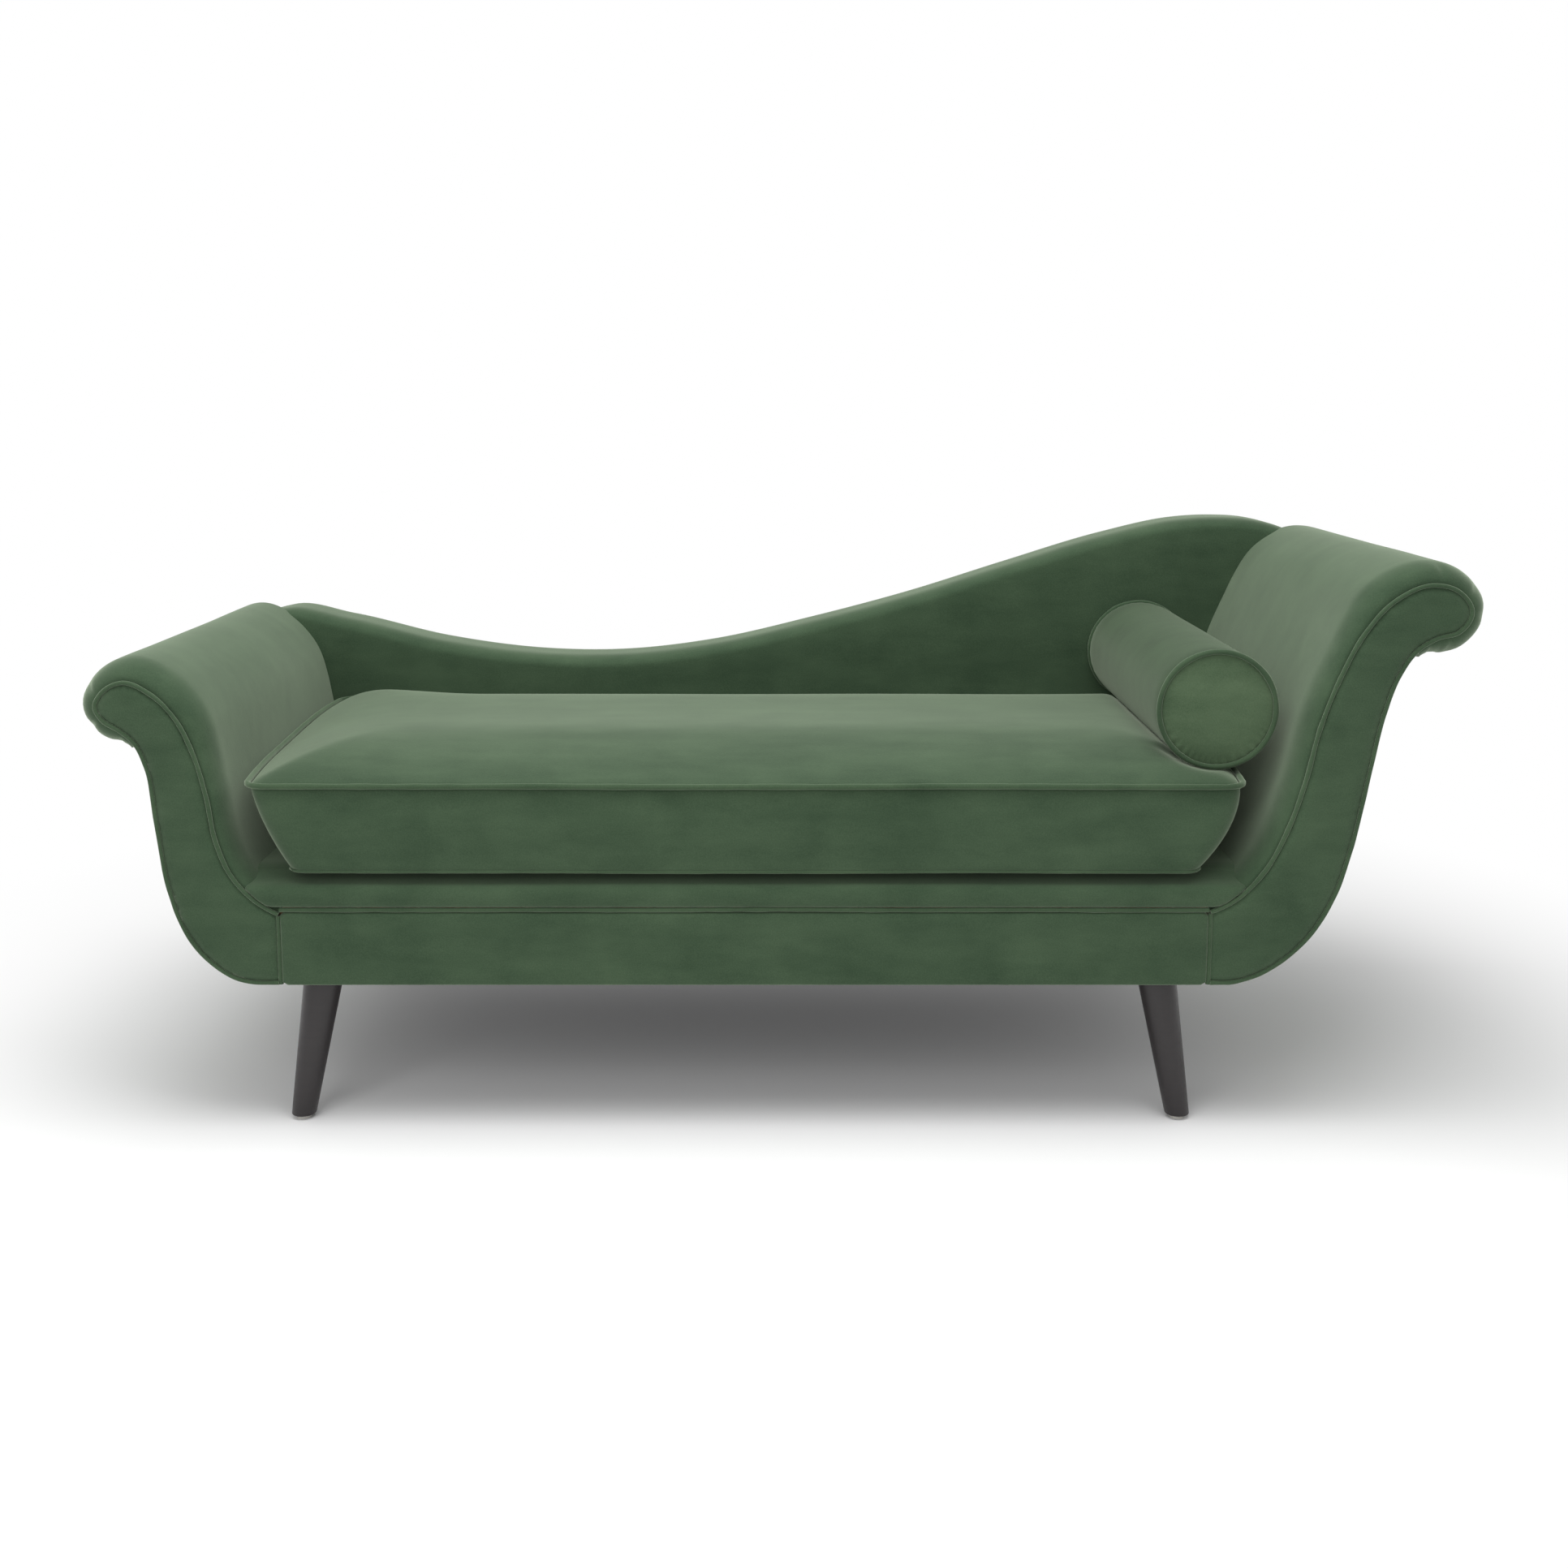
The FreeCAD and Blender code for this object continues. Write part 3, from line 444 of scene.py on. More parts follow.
def tube(name: str, path: Row, radius: float, closed: bool = False, sides: int = 14,
         wobble: float = 0.0) -> bpy.types.Object:
    """Sweep a round section along a path, with its ends closed.

    Args:
        name: The piece's name.
        path: Points along the middle.
        radius: The section's radius.
        closed: Whether the path's end joins its start.
        sides: Points round the section.
        wobble: How unevenly the filler cord lies in its cloth, as a share of the radius.

    Returns:
        The closed tube.
    """
    count = len(path)
    tangents = []
    for number in range(count):
        before = path[number - 1] if closed or number else path[0]
        after = path[(number + 1) % count] if closed or number < count - 1 else path[-1]
        tangents.append((after - before).normalized())
    guide = tangents[0].orthogonal().normalized()
    points = []
    for number, (middle, tangent) in enumerate(zip(path, tangents)):
        guide = (guide - tangent * guide.dot(tangent)).normalized()
        across = tangent.cross(guide)
        swollen = radius * (1 + wobble * noise.noise(middle * 45))
        for side in range(sides):
            turn = math.tau * side / sides
            points.append(middle + swollen * (math.cos(turn) * guide + math.sin(turn) * across))
    faces = grid(count, sides, round_columns=True)
    if closed:
        last = (count - 1) * sides
        first_ring = points[:sides]
        start = points[last]
        turn_by = min(range(sides), key=lambda step: (first_ring[step] - start).length)
        faces += [(last + side, last + (side + 1) % sides, (side + 1 + turn_by) % sides,
                   (side + turn_by) % sides) for side in range(sides)]
    else:
        faces.append(tuple(range(sides))[::-1])
        faces.append(tuple(range((count - 1) * sides, count * sides)))
    return make_piece(name, points, faces)


def flat_fill(outline: Row, pitch: float) -> tuple[Row, list[list[int]], np.ndarray]:
    """Fill a flat outline with even triangles.

    Args:
        outline: The outline's points, in two dimensions.
        pitch: The distance between the inner points.

    Returns:
        The points, the triangles and each point's distance from the outline.
    """
    edge = np.array([tuple(point) for point in outline])
    low, high = edge.min(0), edge.max(0)
    across = np.arange(low[0] + pitch / 2, high[0], pitch)
    upward = np.arange(low[1] + pitch / 2, high[1], pitch * 0.87)
    spots = np.array([(x + (row % 2) * pitch / 2, y) for row, y in enumerate(upward)
                      for x in across])
    spots = spots[distance_to(edge, spots) > pitch * 0.6]
    points = [Vector(spot) for spot in np.vstack([edge, spots])]
    loop = list(range(len(outline)))
    found = geometry.delaunay_2d_cdt(points, [], [loop], 1, 1e-6)
    flat = np.array([tuple(point) for point in found[0]])
    return [Vector(spot) for spot in flat], [list(face) for face in found[2]], \
        distance_to(edge, flat)


def distance_to(edge: np.ndarray, spots: np.ndarray) -> np.ndarray:
    """Distance from each spot to a closed outline.

    Args:
        edge: The outline's points.
        spots: The spots.

    Returns:
        The distances.
    """
    best = np.full(len(spots), 1e9)
    for start, end in zip(edge, np.roll(edge, -1, 0)):
        run = end - start
        share = np.clip(((spots - start) @ run) / max(run @ run, 1e-12), 0, 1)
        gap = np.linalg.norm(spots - (start + share[:, None] * run), axis=1)
        best = np.minimum(best, gap)
    return best


def soft_slab(name: str, rings: Sequence[tuple[Row, float]], pitch: float,
              front_rise: Callable[[Vector, float], float]) -> bpy.types.Object:
    """Close a stack of upright outlines with a soft front and a flat back.

    Args:
        name: The piece's name.
        rings: Outlines of equal count in (X, Z), each with its Y, the front one first.
        pitch: The distance between points on the front.
        front_rise: How far the front stands forward at a point, by its place and its
            distance from the edge.

    Returns:
        The closed piece.
    """
    count = len(rings[0][0])
    points = [Vector((point.x, y, point.y)) for outline, y in rings for point in outline]
    faces = grid(len(rings), count, round_columns=True)
    faces.append(tuple(range((len(rings) - 1) * count, len(rings) * count)))
    flat, triangles, edge_gaps = flat_fill(rings[0][0], pitch)
    start = len(points)
    y = rings[0][1]
    points += [Vector((spot.x, y - front_rise(spot, gap), spot.y))
               for spot, gap in zip(flat, edge_gaps)]
    faces += [[start + corner for corner in face] for face in triangles]
    return make_piece(name, points, faces)


def ease(share: float) -> float:
    """A smooth step from 0 to 1."""
    share = min(1.0, max(0.0, share))
    return share * share * (3 - 2 * share)


def quarter(share: float) -> float:
    """A quarter ellipse from 0 to 1, steep at its start."""
    share = min(1.0, max(0.0, share))
    return math.sqrt(1 - (1 - share) ** 2)


def apply_modifier(piece: bpy.types.Object, kind: str, **settings: object) -> None:
    """Add a modifier with its settings and apply it.

    Args:
        piece: The piece.
        kind: The modifier's type.
        settings: The modifier's settings.
    """
    select_only(piece)
    modifier = piece.modifiers.new(kind.title(), kind)
    for name, value in settings.items():
        setattr(modifier, name, value)
    bpy.ops.object.modifier_apply(modifier=modifier.name)


def dress(piece: bpy.types.Object, finish: Finish, body: Body,
          stands_for: Iterable[str] = ()) -> bpy.types.Object:
    """Give a new piece its finish and body, and hide the CAD nodes that it replaces.

    Args:
        piece: The piece.
        finish: Its finish.
        body: The body that it rides on.
        stands_for: The CAD nodes that it replaces.

    Returns:
        The piece.
    """
    piece.data.materials.clear()
    piece.data.materials.append(wardrobe.get(finish))
    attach(piece, body.value)
    nodes = list(stands_for)
    if nodes:
        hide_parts(*nodes)
    log.info("%s: %d faces, on %s", piece.name, len(piece.data.polygons), body.value)
    return piece


# Lines in a plane
@dataclass(frozen=True)
class Station:
    """A point on a smooth line, with the direction that points out of the piece."""

    at: Vector
    out: Vector
    run: float


class SmoothLine:
    """A smooth line through chosen points, its left side outward."""

    def __init__(self, points: Sequence[tuple[float, float]]) -> None:
        """Take the chosen points.

        Args:
            points: The points, in metres.
        """
        self.points = [Vector(point) for point in points]
        inner = []
        for before, here, after in zip(self.points, self.points[1:], self.points[2:]):
            first, second = here - before, after - here
            inner.append((first / first.length_squared
                          + second / second.length_squared).normalized())
        start = (self.points[1] - self.points[0]).normalized()
        end = (self.points[-1] - self.points[-2]).normalized()
        self.tangents = [2 * inner[0].dot(start) * start - inner[0]] + inner
        self.tangents.append(2 * inner[-1].dot(end) * end - inner[-1])

    def stations(self, spacing: float, first: int = 0, last: Optional[int] = None
                 ) -> list[Station]:
        """Spread stations evenly along a stretch of the line.

        Args:
            spacing: The distance between them, in metres.
            first: The chosen point at the start.
            last: The chosen point at the end.

        Returns:
            The stations.
        """
        last = len(self.points) - 1 if last is None else last
        dense = []
        for number in range(first, last):
            start, end = self.points[number], self.points[number + 1]
            chord = (end - start).length
            pull, push = self.tangents[number] * chord, self.tangents[number + 1] * chord
            for step in range(24):
                share = step / 24
                square, cube = share * share, share ** 3
                dense.append((2 * cube - 3 * square + 1) * start
                             + (cube - 2 * square + share) * pull
                             + (3 * square - 2 * cube) * end + (cube - square) * push)
        dense.append(self.points[last].copy())
        runs = [0.0]
        for here, after in zip(dense, dense[1:]):
            runs.append(runs[-1] + (after - here).length)
        count = max(2, round(runs[-1] / spacing))
        wanted = [runs[-1] * step / count for step in range(count + 1)]
        places = np.array([tuple(point) for point in dense])
        xs = np.interp(wanted, runs, places[:, 0])
        ys = np.interp(wanted, runs, places[:, 1])
        flat = [Vector(pair) for pair in zip(xs, ys)]
        found = []
        for number, here in enumerate(flat):
            before = flat[max(0, number - 1)]
            after = flat[min(count, number + 1)]
            along = (after - before).normalized()
            found.append(Station(here, Vector((-along.y, along.x)), wanted[number]))
        return found


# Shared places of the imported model, in metres
FRONT_SEAM_Y = -318.7 * MM
WELT_Y = -322.5 * MM
BACK_FRONT_Y = 240.0 * MM
COVER_BACK_Y = 325.7 * MM
BASE_Z = 187.0 * MM
BAND_TOP_Z = 285.0 * MM
LEFT_SEAM_X = -626.0 * MM
RIGHT_SEAM_X = 535.0 * MM


def in_metres(points: Sequence[tuple[float, float]]) -> list[tuple[float, float]]:
    """Turn pairs of millimetres to metres."""
    return [(first * MM, second * MM) for first, second in points]


@dataclass
class ScrollArm:
    """One scroll arm: padded roll, facing with its welt, and outside panel."""

    name: str
    side: int
    seam: float
    points: list[tuple[float, float]]
    head_back: int
    pleats: list[tuple[float, float]]
    roll_bulge: float = 17 * MM
    panel_bulge: float = 7 * MM
    seam_puff: float = 1 * MM
    puff_length: float = 40 * MM
    head_swell: float = 10 * MM
    head_length: float = 290 * MM
    pad_depth: float = 8 * MM
    welt_radius: float = 2.7 * MM
    seam_welt_radius: float = 3.2 * MM
    facing_rise: float = 5 * MM
    facing_ease: float = 16 * MM
    facing_back: float = -313 * MM

    def __post_init__(self) -> None:
        """Make the smooth line through the chosen points."""
        self.line = SmoothLine(in_metres(self.points))

    def reach(self, up: float) -> float:
        """How far outward the inside seam line is at a height above the base."""
        for station in self.line.stations(2 * MM, 0, self.head_back):
            face = station.at + station.out * self.seam_puff
            if face.y >= up:
                return face.x
        return 0.0

    def place(self, flat: Vector, y: float) -> Vector:
        """Put a profile point, outward and up, in the frame."""
        return Vector((self.seam + self.side * flat.x, y, BASE_Z + flat.y))

    def swell(self, y: float, bulge: float) -> float:
        """How far the cloth stands out from the seam line at a depth."""
        share = (y - FRONT_SEAM_Y) / self.puff_length
        return self.seam_puff + (bulge - self.seam_puff) * quarter(share)

    def pleat(self, run: float, y: float) -> float:
        """How deep the pleats gathered at the welt cut in at a place.

        Args:
            run: The distance along the roll.
            y: The depth.

        Returns:
            The depth of the crease, in metres.
        """
        behind = y - FRONT_SEAM_Y
        deep = 0.0
        for at, depth in self.pleats:
            fade = math.exp(-((behind - 12 * MM) / (13 * MM)) ** 2)
            wide = 2.8 * MM + behind * 0.07
            deep += depth * MM * fade * math.exp(-((run - at * MM) / wide) ** 2)
        return deep

    def layer(self, name: str, stations: list[Station], depths: list[float],
              stand: Callable[[Station, float], float]) -> bpy.types.Object:
        """Build a padded layer along the profile.

        Args:
            name: The end of the piece's name.
            stations: Its stations round the profile.
            depths: Its places from front to back.
            stand: How far the cloth stands out at a station and a depth.

        Returns:
            The closed layer.
        """
        outer, inner = [], []
        for y in depths:
            outer.append([self.place(station.at + station.out * stand(station, y), y)
                          for station in stations])
            inner.append([self.place(station.at - station.out * self.pad_depth, y)
                          for station in stations])
        return thick_sheet(self.name + name, outer, inner)

    def cover(self) -> bpy.types.Object:
        """Build the padded inside and roll, gathered to the welt in front."""
        stations = self.line.stations(2.6 * MM, 0, self.head_back)
        near = [0, 0.6, 1.6, 3, 5, 7.5, 10.5, 14, 18, 22.5, 27.5, 33, 39, 46, 54]
        depths = [FRONT_SEAM_Y + step * MM for step in near]
        while depths[-1] < BACK_FRONT_Y + 4 * MM:
            depths.append(depths[-1] + 14 * MM)
        total = stations[-1].run

        def stand(station: Station, y: float) -> float:
            """How far the cloth stands out, most of all round the head."""
            head = ease((station.run - total + self.head_length) / (100 * MM)) \
                * ease((total - station.run) / (45 * MM))
            lumps = 1.1 * MM * noise.noise(Vector((station.run * 9, y * 6, self.side)))
            back = min(1.0, (y - FRONT_SEAM_Y) / (60 * MM))
            return self.swell(y, self.roll_bulge + self.head_swell * head) \
                - self.pleat(station.run, y) + lumps * back

        return self.layer("_roll_velvet", stations, depths, stand)

    def foot_outline(self, inset: float, spacing: float) -> Row:
        """Closed outline of the facing with its straight foot.

        Args:
            inset: How far inside the seam line.
            spacing: The distance between points.

        Returns:
            The points, outward and up.
        """
        stations = self.line.stations(spacing)
        points = [station.at - station.out * inset for station in stations]
        points = [point for point in points if point.x >= inset and point.y >= inset * 0.4]
        foot = points[-1].y
        steps = max(1, int((points[-1].x - inset) / spacing))
        points += [Vector((points[-1].x + (inset - points[-1].x) * step / steps, foot))
                   for step in range(1, steps + 1)]
        top = points[0].y
        rises = max(2, int((top - foot) / spacing))
        points += [Vector((inset, foot + (top - foot) * step / rises))
                   for step in range(1, rises)]
        return points

    def facing(self) -> bpy.types.Object:
        """Build the facing, drawn down to the welt at its edge."""
        inset = 1.6 * MM
        outline = self.foot_outline(inset, 5 * MM)
        placed = [Vector((self.seam + self.side * point.x, BASE_Z + point.y))
                  for point in outline]

        def rise(spot: Vector, gap: float) -> float:
            """How far the facing stands forward at a place."""
            wave = 0.7 * MM * noise.noise(Vector((spot.x * 11, 0.3 * self.side, spot.y * 11)))
            lift = quarter(gap / self.facing_ease)
            return self.facing_rise * lift + wave * ease(gap / (30 * MM))

        rings = [(placed, -321.0 * MM), (placed, self.facing_back)]
        return soft_slab(self.name + "_facing_velvet", rings, 6 * MM, rise)

    def welts(self) -> bpy.types.Object:
        """Build the welt round the facing, over the scroll and along its foot."""
        stations = self.line.stations(4 * MM)
        path = [self.place(station.at, WELT_Y) for station in stations]
        end = stations[-1].at
        steps = 8
        path += [self.place(Vector((end.x + (2 * MM - end.x) * step / steps, end.y)), WELT_Y)
                 for step in range(1, steps + 1)]
        return tube(self.name + "_facing_piping", path, self.welt_radius, wobble=0.16)

    def seam_welt(self) -> bpy.types.Object:
        """Build the upright welt between the facing and the band."""
        top = self.line.points[0].y - self.welt_radius
        path = [self.place(Vector((0, 1.5 * MM + (top - 1.5 * MM) * step / 16)), WELT_Y + 2 * MM)
                for step in range(17)]
        return tube(self.name + "_seam_piping", path, self.seam_welt_radius, wobble=0.12)

    def outside_panel(self) -> bpy.types.Object:
        """Build the outside panel from the roll's underside to the base."""
        last = len(self.points) - 2
        stations = self.line.stations(6 * MM, self.head_back, last)
        near = [0, 1.5, 4, 8, 14, 22, 34, 50]
        depths = [FRONT_SEAM_Y + step * MM for step in near]
        while depths[-1] < 300 * MM:
            depths.append(depths[-1] + 20 * MM)
        depths += [316 * MM, 322 * MM, 325 * MM]
        length = stations[-1].run

        def stand(station: Station, y: float) -> float:
            """How far the cloth stands out, drawn down at its ends and at the back."""
            ends = quarter(min(station.run, length - station.run) / (14 * MM))
            back = quarter((COVER_BACK_Y - y) / (10 * MM))
            wave = 1.2 * MM * noise.noise(Vector((station.run * 7, y * 6, self.side + 9)))
            return (self.swell(y, self.panel_bulge) + wave) * (0.35 + 0.65 * ends) * back

        return self.layer("_outside_velvet", stations, depths, stand)

    def build(self) -> None:
        """Build and dress every piece of the arm."""
        dress(self.cover(), VELVET, Body.FRAME,
              [self.name + "_cover", self.name + "_padding"])
        dress(self.facing(), VELVET, Body.FRAME, [self.name + "_facing"])
        dress(self.welts(), PIPING_VELVET, Body.FRAME,
              [self.name + "_facing_welt"])
        dress(self.seam_welt(), PIPING_VELVET, Body.FRAME,
              [self.name + "_facing_welt"])
        dress(self.outside_panel(), VELVET, Body.FRAME,
              [self.name + "_outside_panel"])


LOW_SCROLL = [(0, 92), (29, 110), (55, 139), (73, 183), (83, 243), (97, 297), (117, 340),
              (144, 369), (181, 384), (206, 370), (214, 354), (206, 338), (186, 325),
              (167, 308), (155, 280), (146, 213), (133, 121), (116, 70), (87, 31), (54, 9),
              (24, 3.5)]
HIGH_SCROLL = [(0, 95), (30, 110), (65, 146), (91, 197), (111, 259), (127, 329), (150, 393),
               (177, 446), (210, 484), (258, 504), (288, 496), (305, 471), (291, 447),
               (265, 439), (241, 424), (219, 390), (205, 348), (189, 268), (171, 176),
               (153, 116), (126, 67), (90, 31), (55, 11), (25, 3.5)]
LOW_PLEATS = [(402.0, 3.6), (428.0, 3.0), (462.0, 1.6), (500.0, 1.2)]
HIGH_PLEATS = [(520.0, 2.2), (556.0, 2.6), (575.0, 2.0), (612.0, 2.8), (640.0, 2.4)]


@dataclass
class WaveBack:
    """The back: soft front, rolled wave-shaped top edge and flat outside panel."""

    low_arm: ScrollArm
    high_arm: ScrollArm
    low_line: list[tuple[float, float]]
    high_line: list[tuple[float, float]]
    round_in: float = 18 * MM
    round_depth: float = 28 * MM
    side_bulge: float = 7 * MM
    front_puff: float = 2 * MM
    outside_inset: float = 2 * MM

    def outline(self, inward: float, spacing: float) -> Row:
        """Closed outline of the back in (X, Z).

        Args:
            inward: How far inside the full outline.
            spacing: The distance between points.

        Returns:
            The points, from the low arm's foot over the wave to the high arm's foot.
        """
        def edge(arm: ScrollArm, first: int) -> list[tuple[float, float]]:
            """Points of an arm's outer edge, moved out by the panel's bulge."""
            found = []
            last = len(arm.points) - 2
            for number in range(first, last + 1):
                tangent = arm.line.tangents[number]
                flat = arm.line.points[number] \
                    + Vector((-tangent.y, tangent.x)) * self.side_bulge
                found.append((arm.seam + arm.side * flat.x, BASE_Z + flat.y))
            return found

        left = edge(self.low_arm, 10)[::-1]
        right = edge(self.high_arm, 11)
        wave = [(LEFT_SEAM_X + x * MM, BASE_Z + up * MM) for x, up in self.low_line]
        wave += [(RIGHT_SEAM_X + x * MM, BASE_Z + up * MM) for x, up in self.high_line]
        stations = SmoothLine(left + wave + right).stations(spacing)
        points = [station.at - station.out * inward for station in stations]
        start, end = points[-1], points[0]
        steps = 56
        points += [start + (end - start) * step / steps for step in range(1, steps)]
        return points

    def cushion_form(self) -> bpy.types.Object:
        """Build the padded back."""
        spacing = 9 * MM
        shares = [0, 0.02, 0.06, 0.12, 0.2, 0.3, 0.42, 0.56, 0.75, 1]
        rings = []
        for share in shares:
            inward = self.round_in * (1 - quarter(share))
            rings.append((self.outline(inward, spacing),
                          BACK_FRONT_Y + self.round_depth * share))
        full = self.outline(0.0, spacing)
        rings += [(full, y * MM) for y in (282, 296, 308, 318)]
        rings += [(self.outline(1 * MM, spacing), 322.5 * MM),
                  (self.outline(3.5 * MM, spacing), COVER_BACK_Y)]
        count = min(len(ring) for ring, y in rings)
        assert all(len(ring) == count for ring, y in rings)

        def rise(spot: Vector, gap: float) -> float:
            """How far the back stands forward at a place."""
            level = ease((spot.y - 0.45) / 0.12)
            wave = 0.8 * MM * noise.noise(Vector((spot.x * 5, 2.1, spot.y * 6)))
            return (self.front_puff * level + wave) * quarter(gap / (70 * MM))

        return soft_slab("back_velvet", rings, 13 * MM, rise)

    def outside(self) -> bpy.types.Object:
        """Build the flat outside panel with its soft turned edge."""
        spacing = 9 * MM
        rings = [(self.outline(self.outside_inset, spacing), 326.0 * MM),
                 (self.outline(self.outside_inset, spacing), 328.0 * MM),
                 (self.outline(self.outside_inset + 1.5 * MM, spacing), 330.0 * MM)]
        return soft_slab("back_outside_velvet", rings, 30 * MM, lambda spot, gap: 0.0)

    def build(self) -> None:
        """Build and dress the back."""
        dress(self.cushion_form(), VELVET, Body.FRAME,
              ["back_cover", "back_padding"])
        dress(self.outside(), VELVET, Body.FRAME, ["back_outside_panel"])


LOW_LINE = [(-146, 401), (-52, 387), (100, 351), (252, 331), (367, 329), (520, 346)]
HIGH_LINE = [(-488, 381), (-335, 422), (-184, 470), (-33, 516), (80, 540), (137, 543),
             (194, 539), (240, 526)]


@dataclass
class Base:
    """The base between the arms: front band, its welt, deck lip and seat deck."""

    low_arm: ScrollArm
    high_arm: ScrollArm
    left: float = LEFT_SEAM_X + 2 * MM
    right: float = RIGHT_SEAM_X - 2 * MM
    welt_radius: float = 3 * MM
    corner: float = 5 * MM

    def band(self) -> bpy.types.Object:
        """Build the front band, soft at its edges."""
        low, high = BASE_Z, BAND_TOP_Z - 3 * MM

        def outline(inward: float) -> Row:
            """A rounded rectangle, shrunk."""
            corners = [(self.right, high, 0), (self.left, high, 90), (self.left, low, 180),
                       (self.right, low, 270)]
            radius = self.corner
            points = []
            for x, z, turn in corners:
                middle = Vector((x + (radius if x < 0 else -radius),
                                 z + (radius if z == low else -radius)))
                for step in range(5):
                    angle = math.radians(turn + step * 22.5)
                    points.append(middle + (radius - inward)
                                  * Vector((math.cos(angle), math.sin(angle))))
            return spaced(points, 9 * MM, closed=True)

        count = len(outline(0.0))
        rings = []
        for share in (0, 0.15, 0.35, 0.6, 1):
            points = outline(3.5 * MM * (1 - quarter(share)))
            rings.append((resampled(points, count), (-325.2 + 6 * share) * MM))
        rings.append((resampled(outline(0.0), count), -313 * MM))

        def rise(spot: Vector, gap: float) -> float:
            """How far the band stands forward at a place."""
            wave = noise.noise(Vector((spot.x * 5, 7.0, spot.y * 9)))
            return (0.8 + 0.9 * wave) * MM * ease(gap / (35 * MM))

        return soft_slab("front_band_velvet", rings, 9 * MM, rise)

    def band_welt(self) -> bpy.types.Object:
        """Build the welt along the band's top, a little uneven as sewn."""
        path = []
        steps = 190
        for step in range(steps + 1):
            x = self.left + (self.right - self.left) * step / steps
            lift = 1.3 * MM * noise.noise(Vector((x * 6, 1.7, 0.2)))
            path.append(Vector((x, WELT_Y, BAND_TOP_Z + lift)))
        return tube("front_band_piping", path, self.welt_radius, wobble=0.16)

    def deck(self) -> bpy.types.Object:
        """Build the padded deck with its rounded front lip."""
        profile = [(-322.5, 288.4), (-324.6, 289.6), (-326.0, 293), (-326.4, 299), (-326.0, 306),
                   (-325.0, 310), (-322.5, 313.2), (-318.5, 315.2), (-312, 316.8),
                   (-302, 319.5), (-290, 323.5), (-280, 327.5), (-272, 329.3)]
        profile += [(y, 330) for y in range(-262, 236, 14)]
        profile += [(239, 329), (239, 306), (120, 306), (0, 306), (-120, 306), (-220, 306),
                    (-300, 306), (-306, 296), (-310, 289)]
        reaches = {z: [arm.reach(z * MM - BASE_Z) - 4 * MM for arm in (self.low_arm, self.high_arm)]
                   for y, z in profile}
        rows = []
        steps = 96
        shares = [0, 0.0008, 0.0022, 0.0045, 0.008]
        shares += [0.008 + 0.984 * step / steps for step in range(1, steps)]
        shares += [1 - share for share in (0.008, 0.0045, 0.0022, 0.0008, 0)]
        for share in shares:
            end = quarter(min(share, 1 - share) / 0.008)
            row = []
            for y, z in profile:
                start = LEFT_SEAM_X - reaches[z][0]
                finish = RIGHT_SEAM_X + reaches[z][1]
                pull = (1 - end) * 4
                x = start + (finish - start) * share
                wave = 1.2 * noise.noise(Vector((x * 5, 3.1, z * 0.02))) * end
                row.append(Vector((x, (y + (pull if y < -300 else 0)) * MM,
                                   (z - (pull if z > 311 else 0)
                                    + (wave if z > 300 else 0)) * MM)))
            rows.append(row)
        count = len(profile)
        points = [point for row in rows for point in row]
        faces = grid(len(rows), count, round_columns=True)
        faces += [tuple(range(count)), tuple(range((len(rows) - 1) * count, len(rows) * count))]
        return make_piece("deck_velvet", points, faces)

    def build(self) -> None:
        """Build and dress the base."""
        dress(self.band(), VELVET, Body.FRAME, ["front_band"])
        dress(self.band_welt(), PIPING_VELVET, Body.FRAME, ["front_band_welt"])
        dress(self.deck(), VELVET, Body.FRAME,
              ["deck_cover", "deck_pad"])


def spaced(points: Row, spacing: float, closed: bool = False) -> Row:
    """Divide the long stretches of a line.

    Args:
        points: The line's points.
        spacing: The longest stretch to leave.
        closed: Whether the last point joins the first.

    Returns:
        The line with its added points.
    """
    found = []
    for here, after in zip(points, points[1:] + points[:1] if closed else points[1:]):
        steps = max(1, math.ceil((after - here).length / spacing))
        found += [here + (after - here) * step / steps for step in range(steps)]
    return found if closed else found + [points[-1]]


def resampled(points: Row, count: int, closed: bool = True) -> Row:
    """Spread a number of points evenly along a line.

    Args:
        points: The line's points.
        count: How many points to give.
        closed: Whether the line is closed.

    Returns:
        The evenly spread points.
    """
    line = points + points[:1] if closed else points
    runs = np.cumsum([0.0] + [(after - here).length for here, after in zip(line, line[1:])])
    places = np.array([tuple(point) for point in line])
    wanted = np.linspace(0, runs[-1], count + 1 if closed else count)
    columns = [np.interp(wanted, runs, places[:, axis]) for axis in range(places.shape[1])]
    found = [Vector(values) for values in zip(*columns)]
    return found[:-1] if closed else found


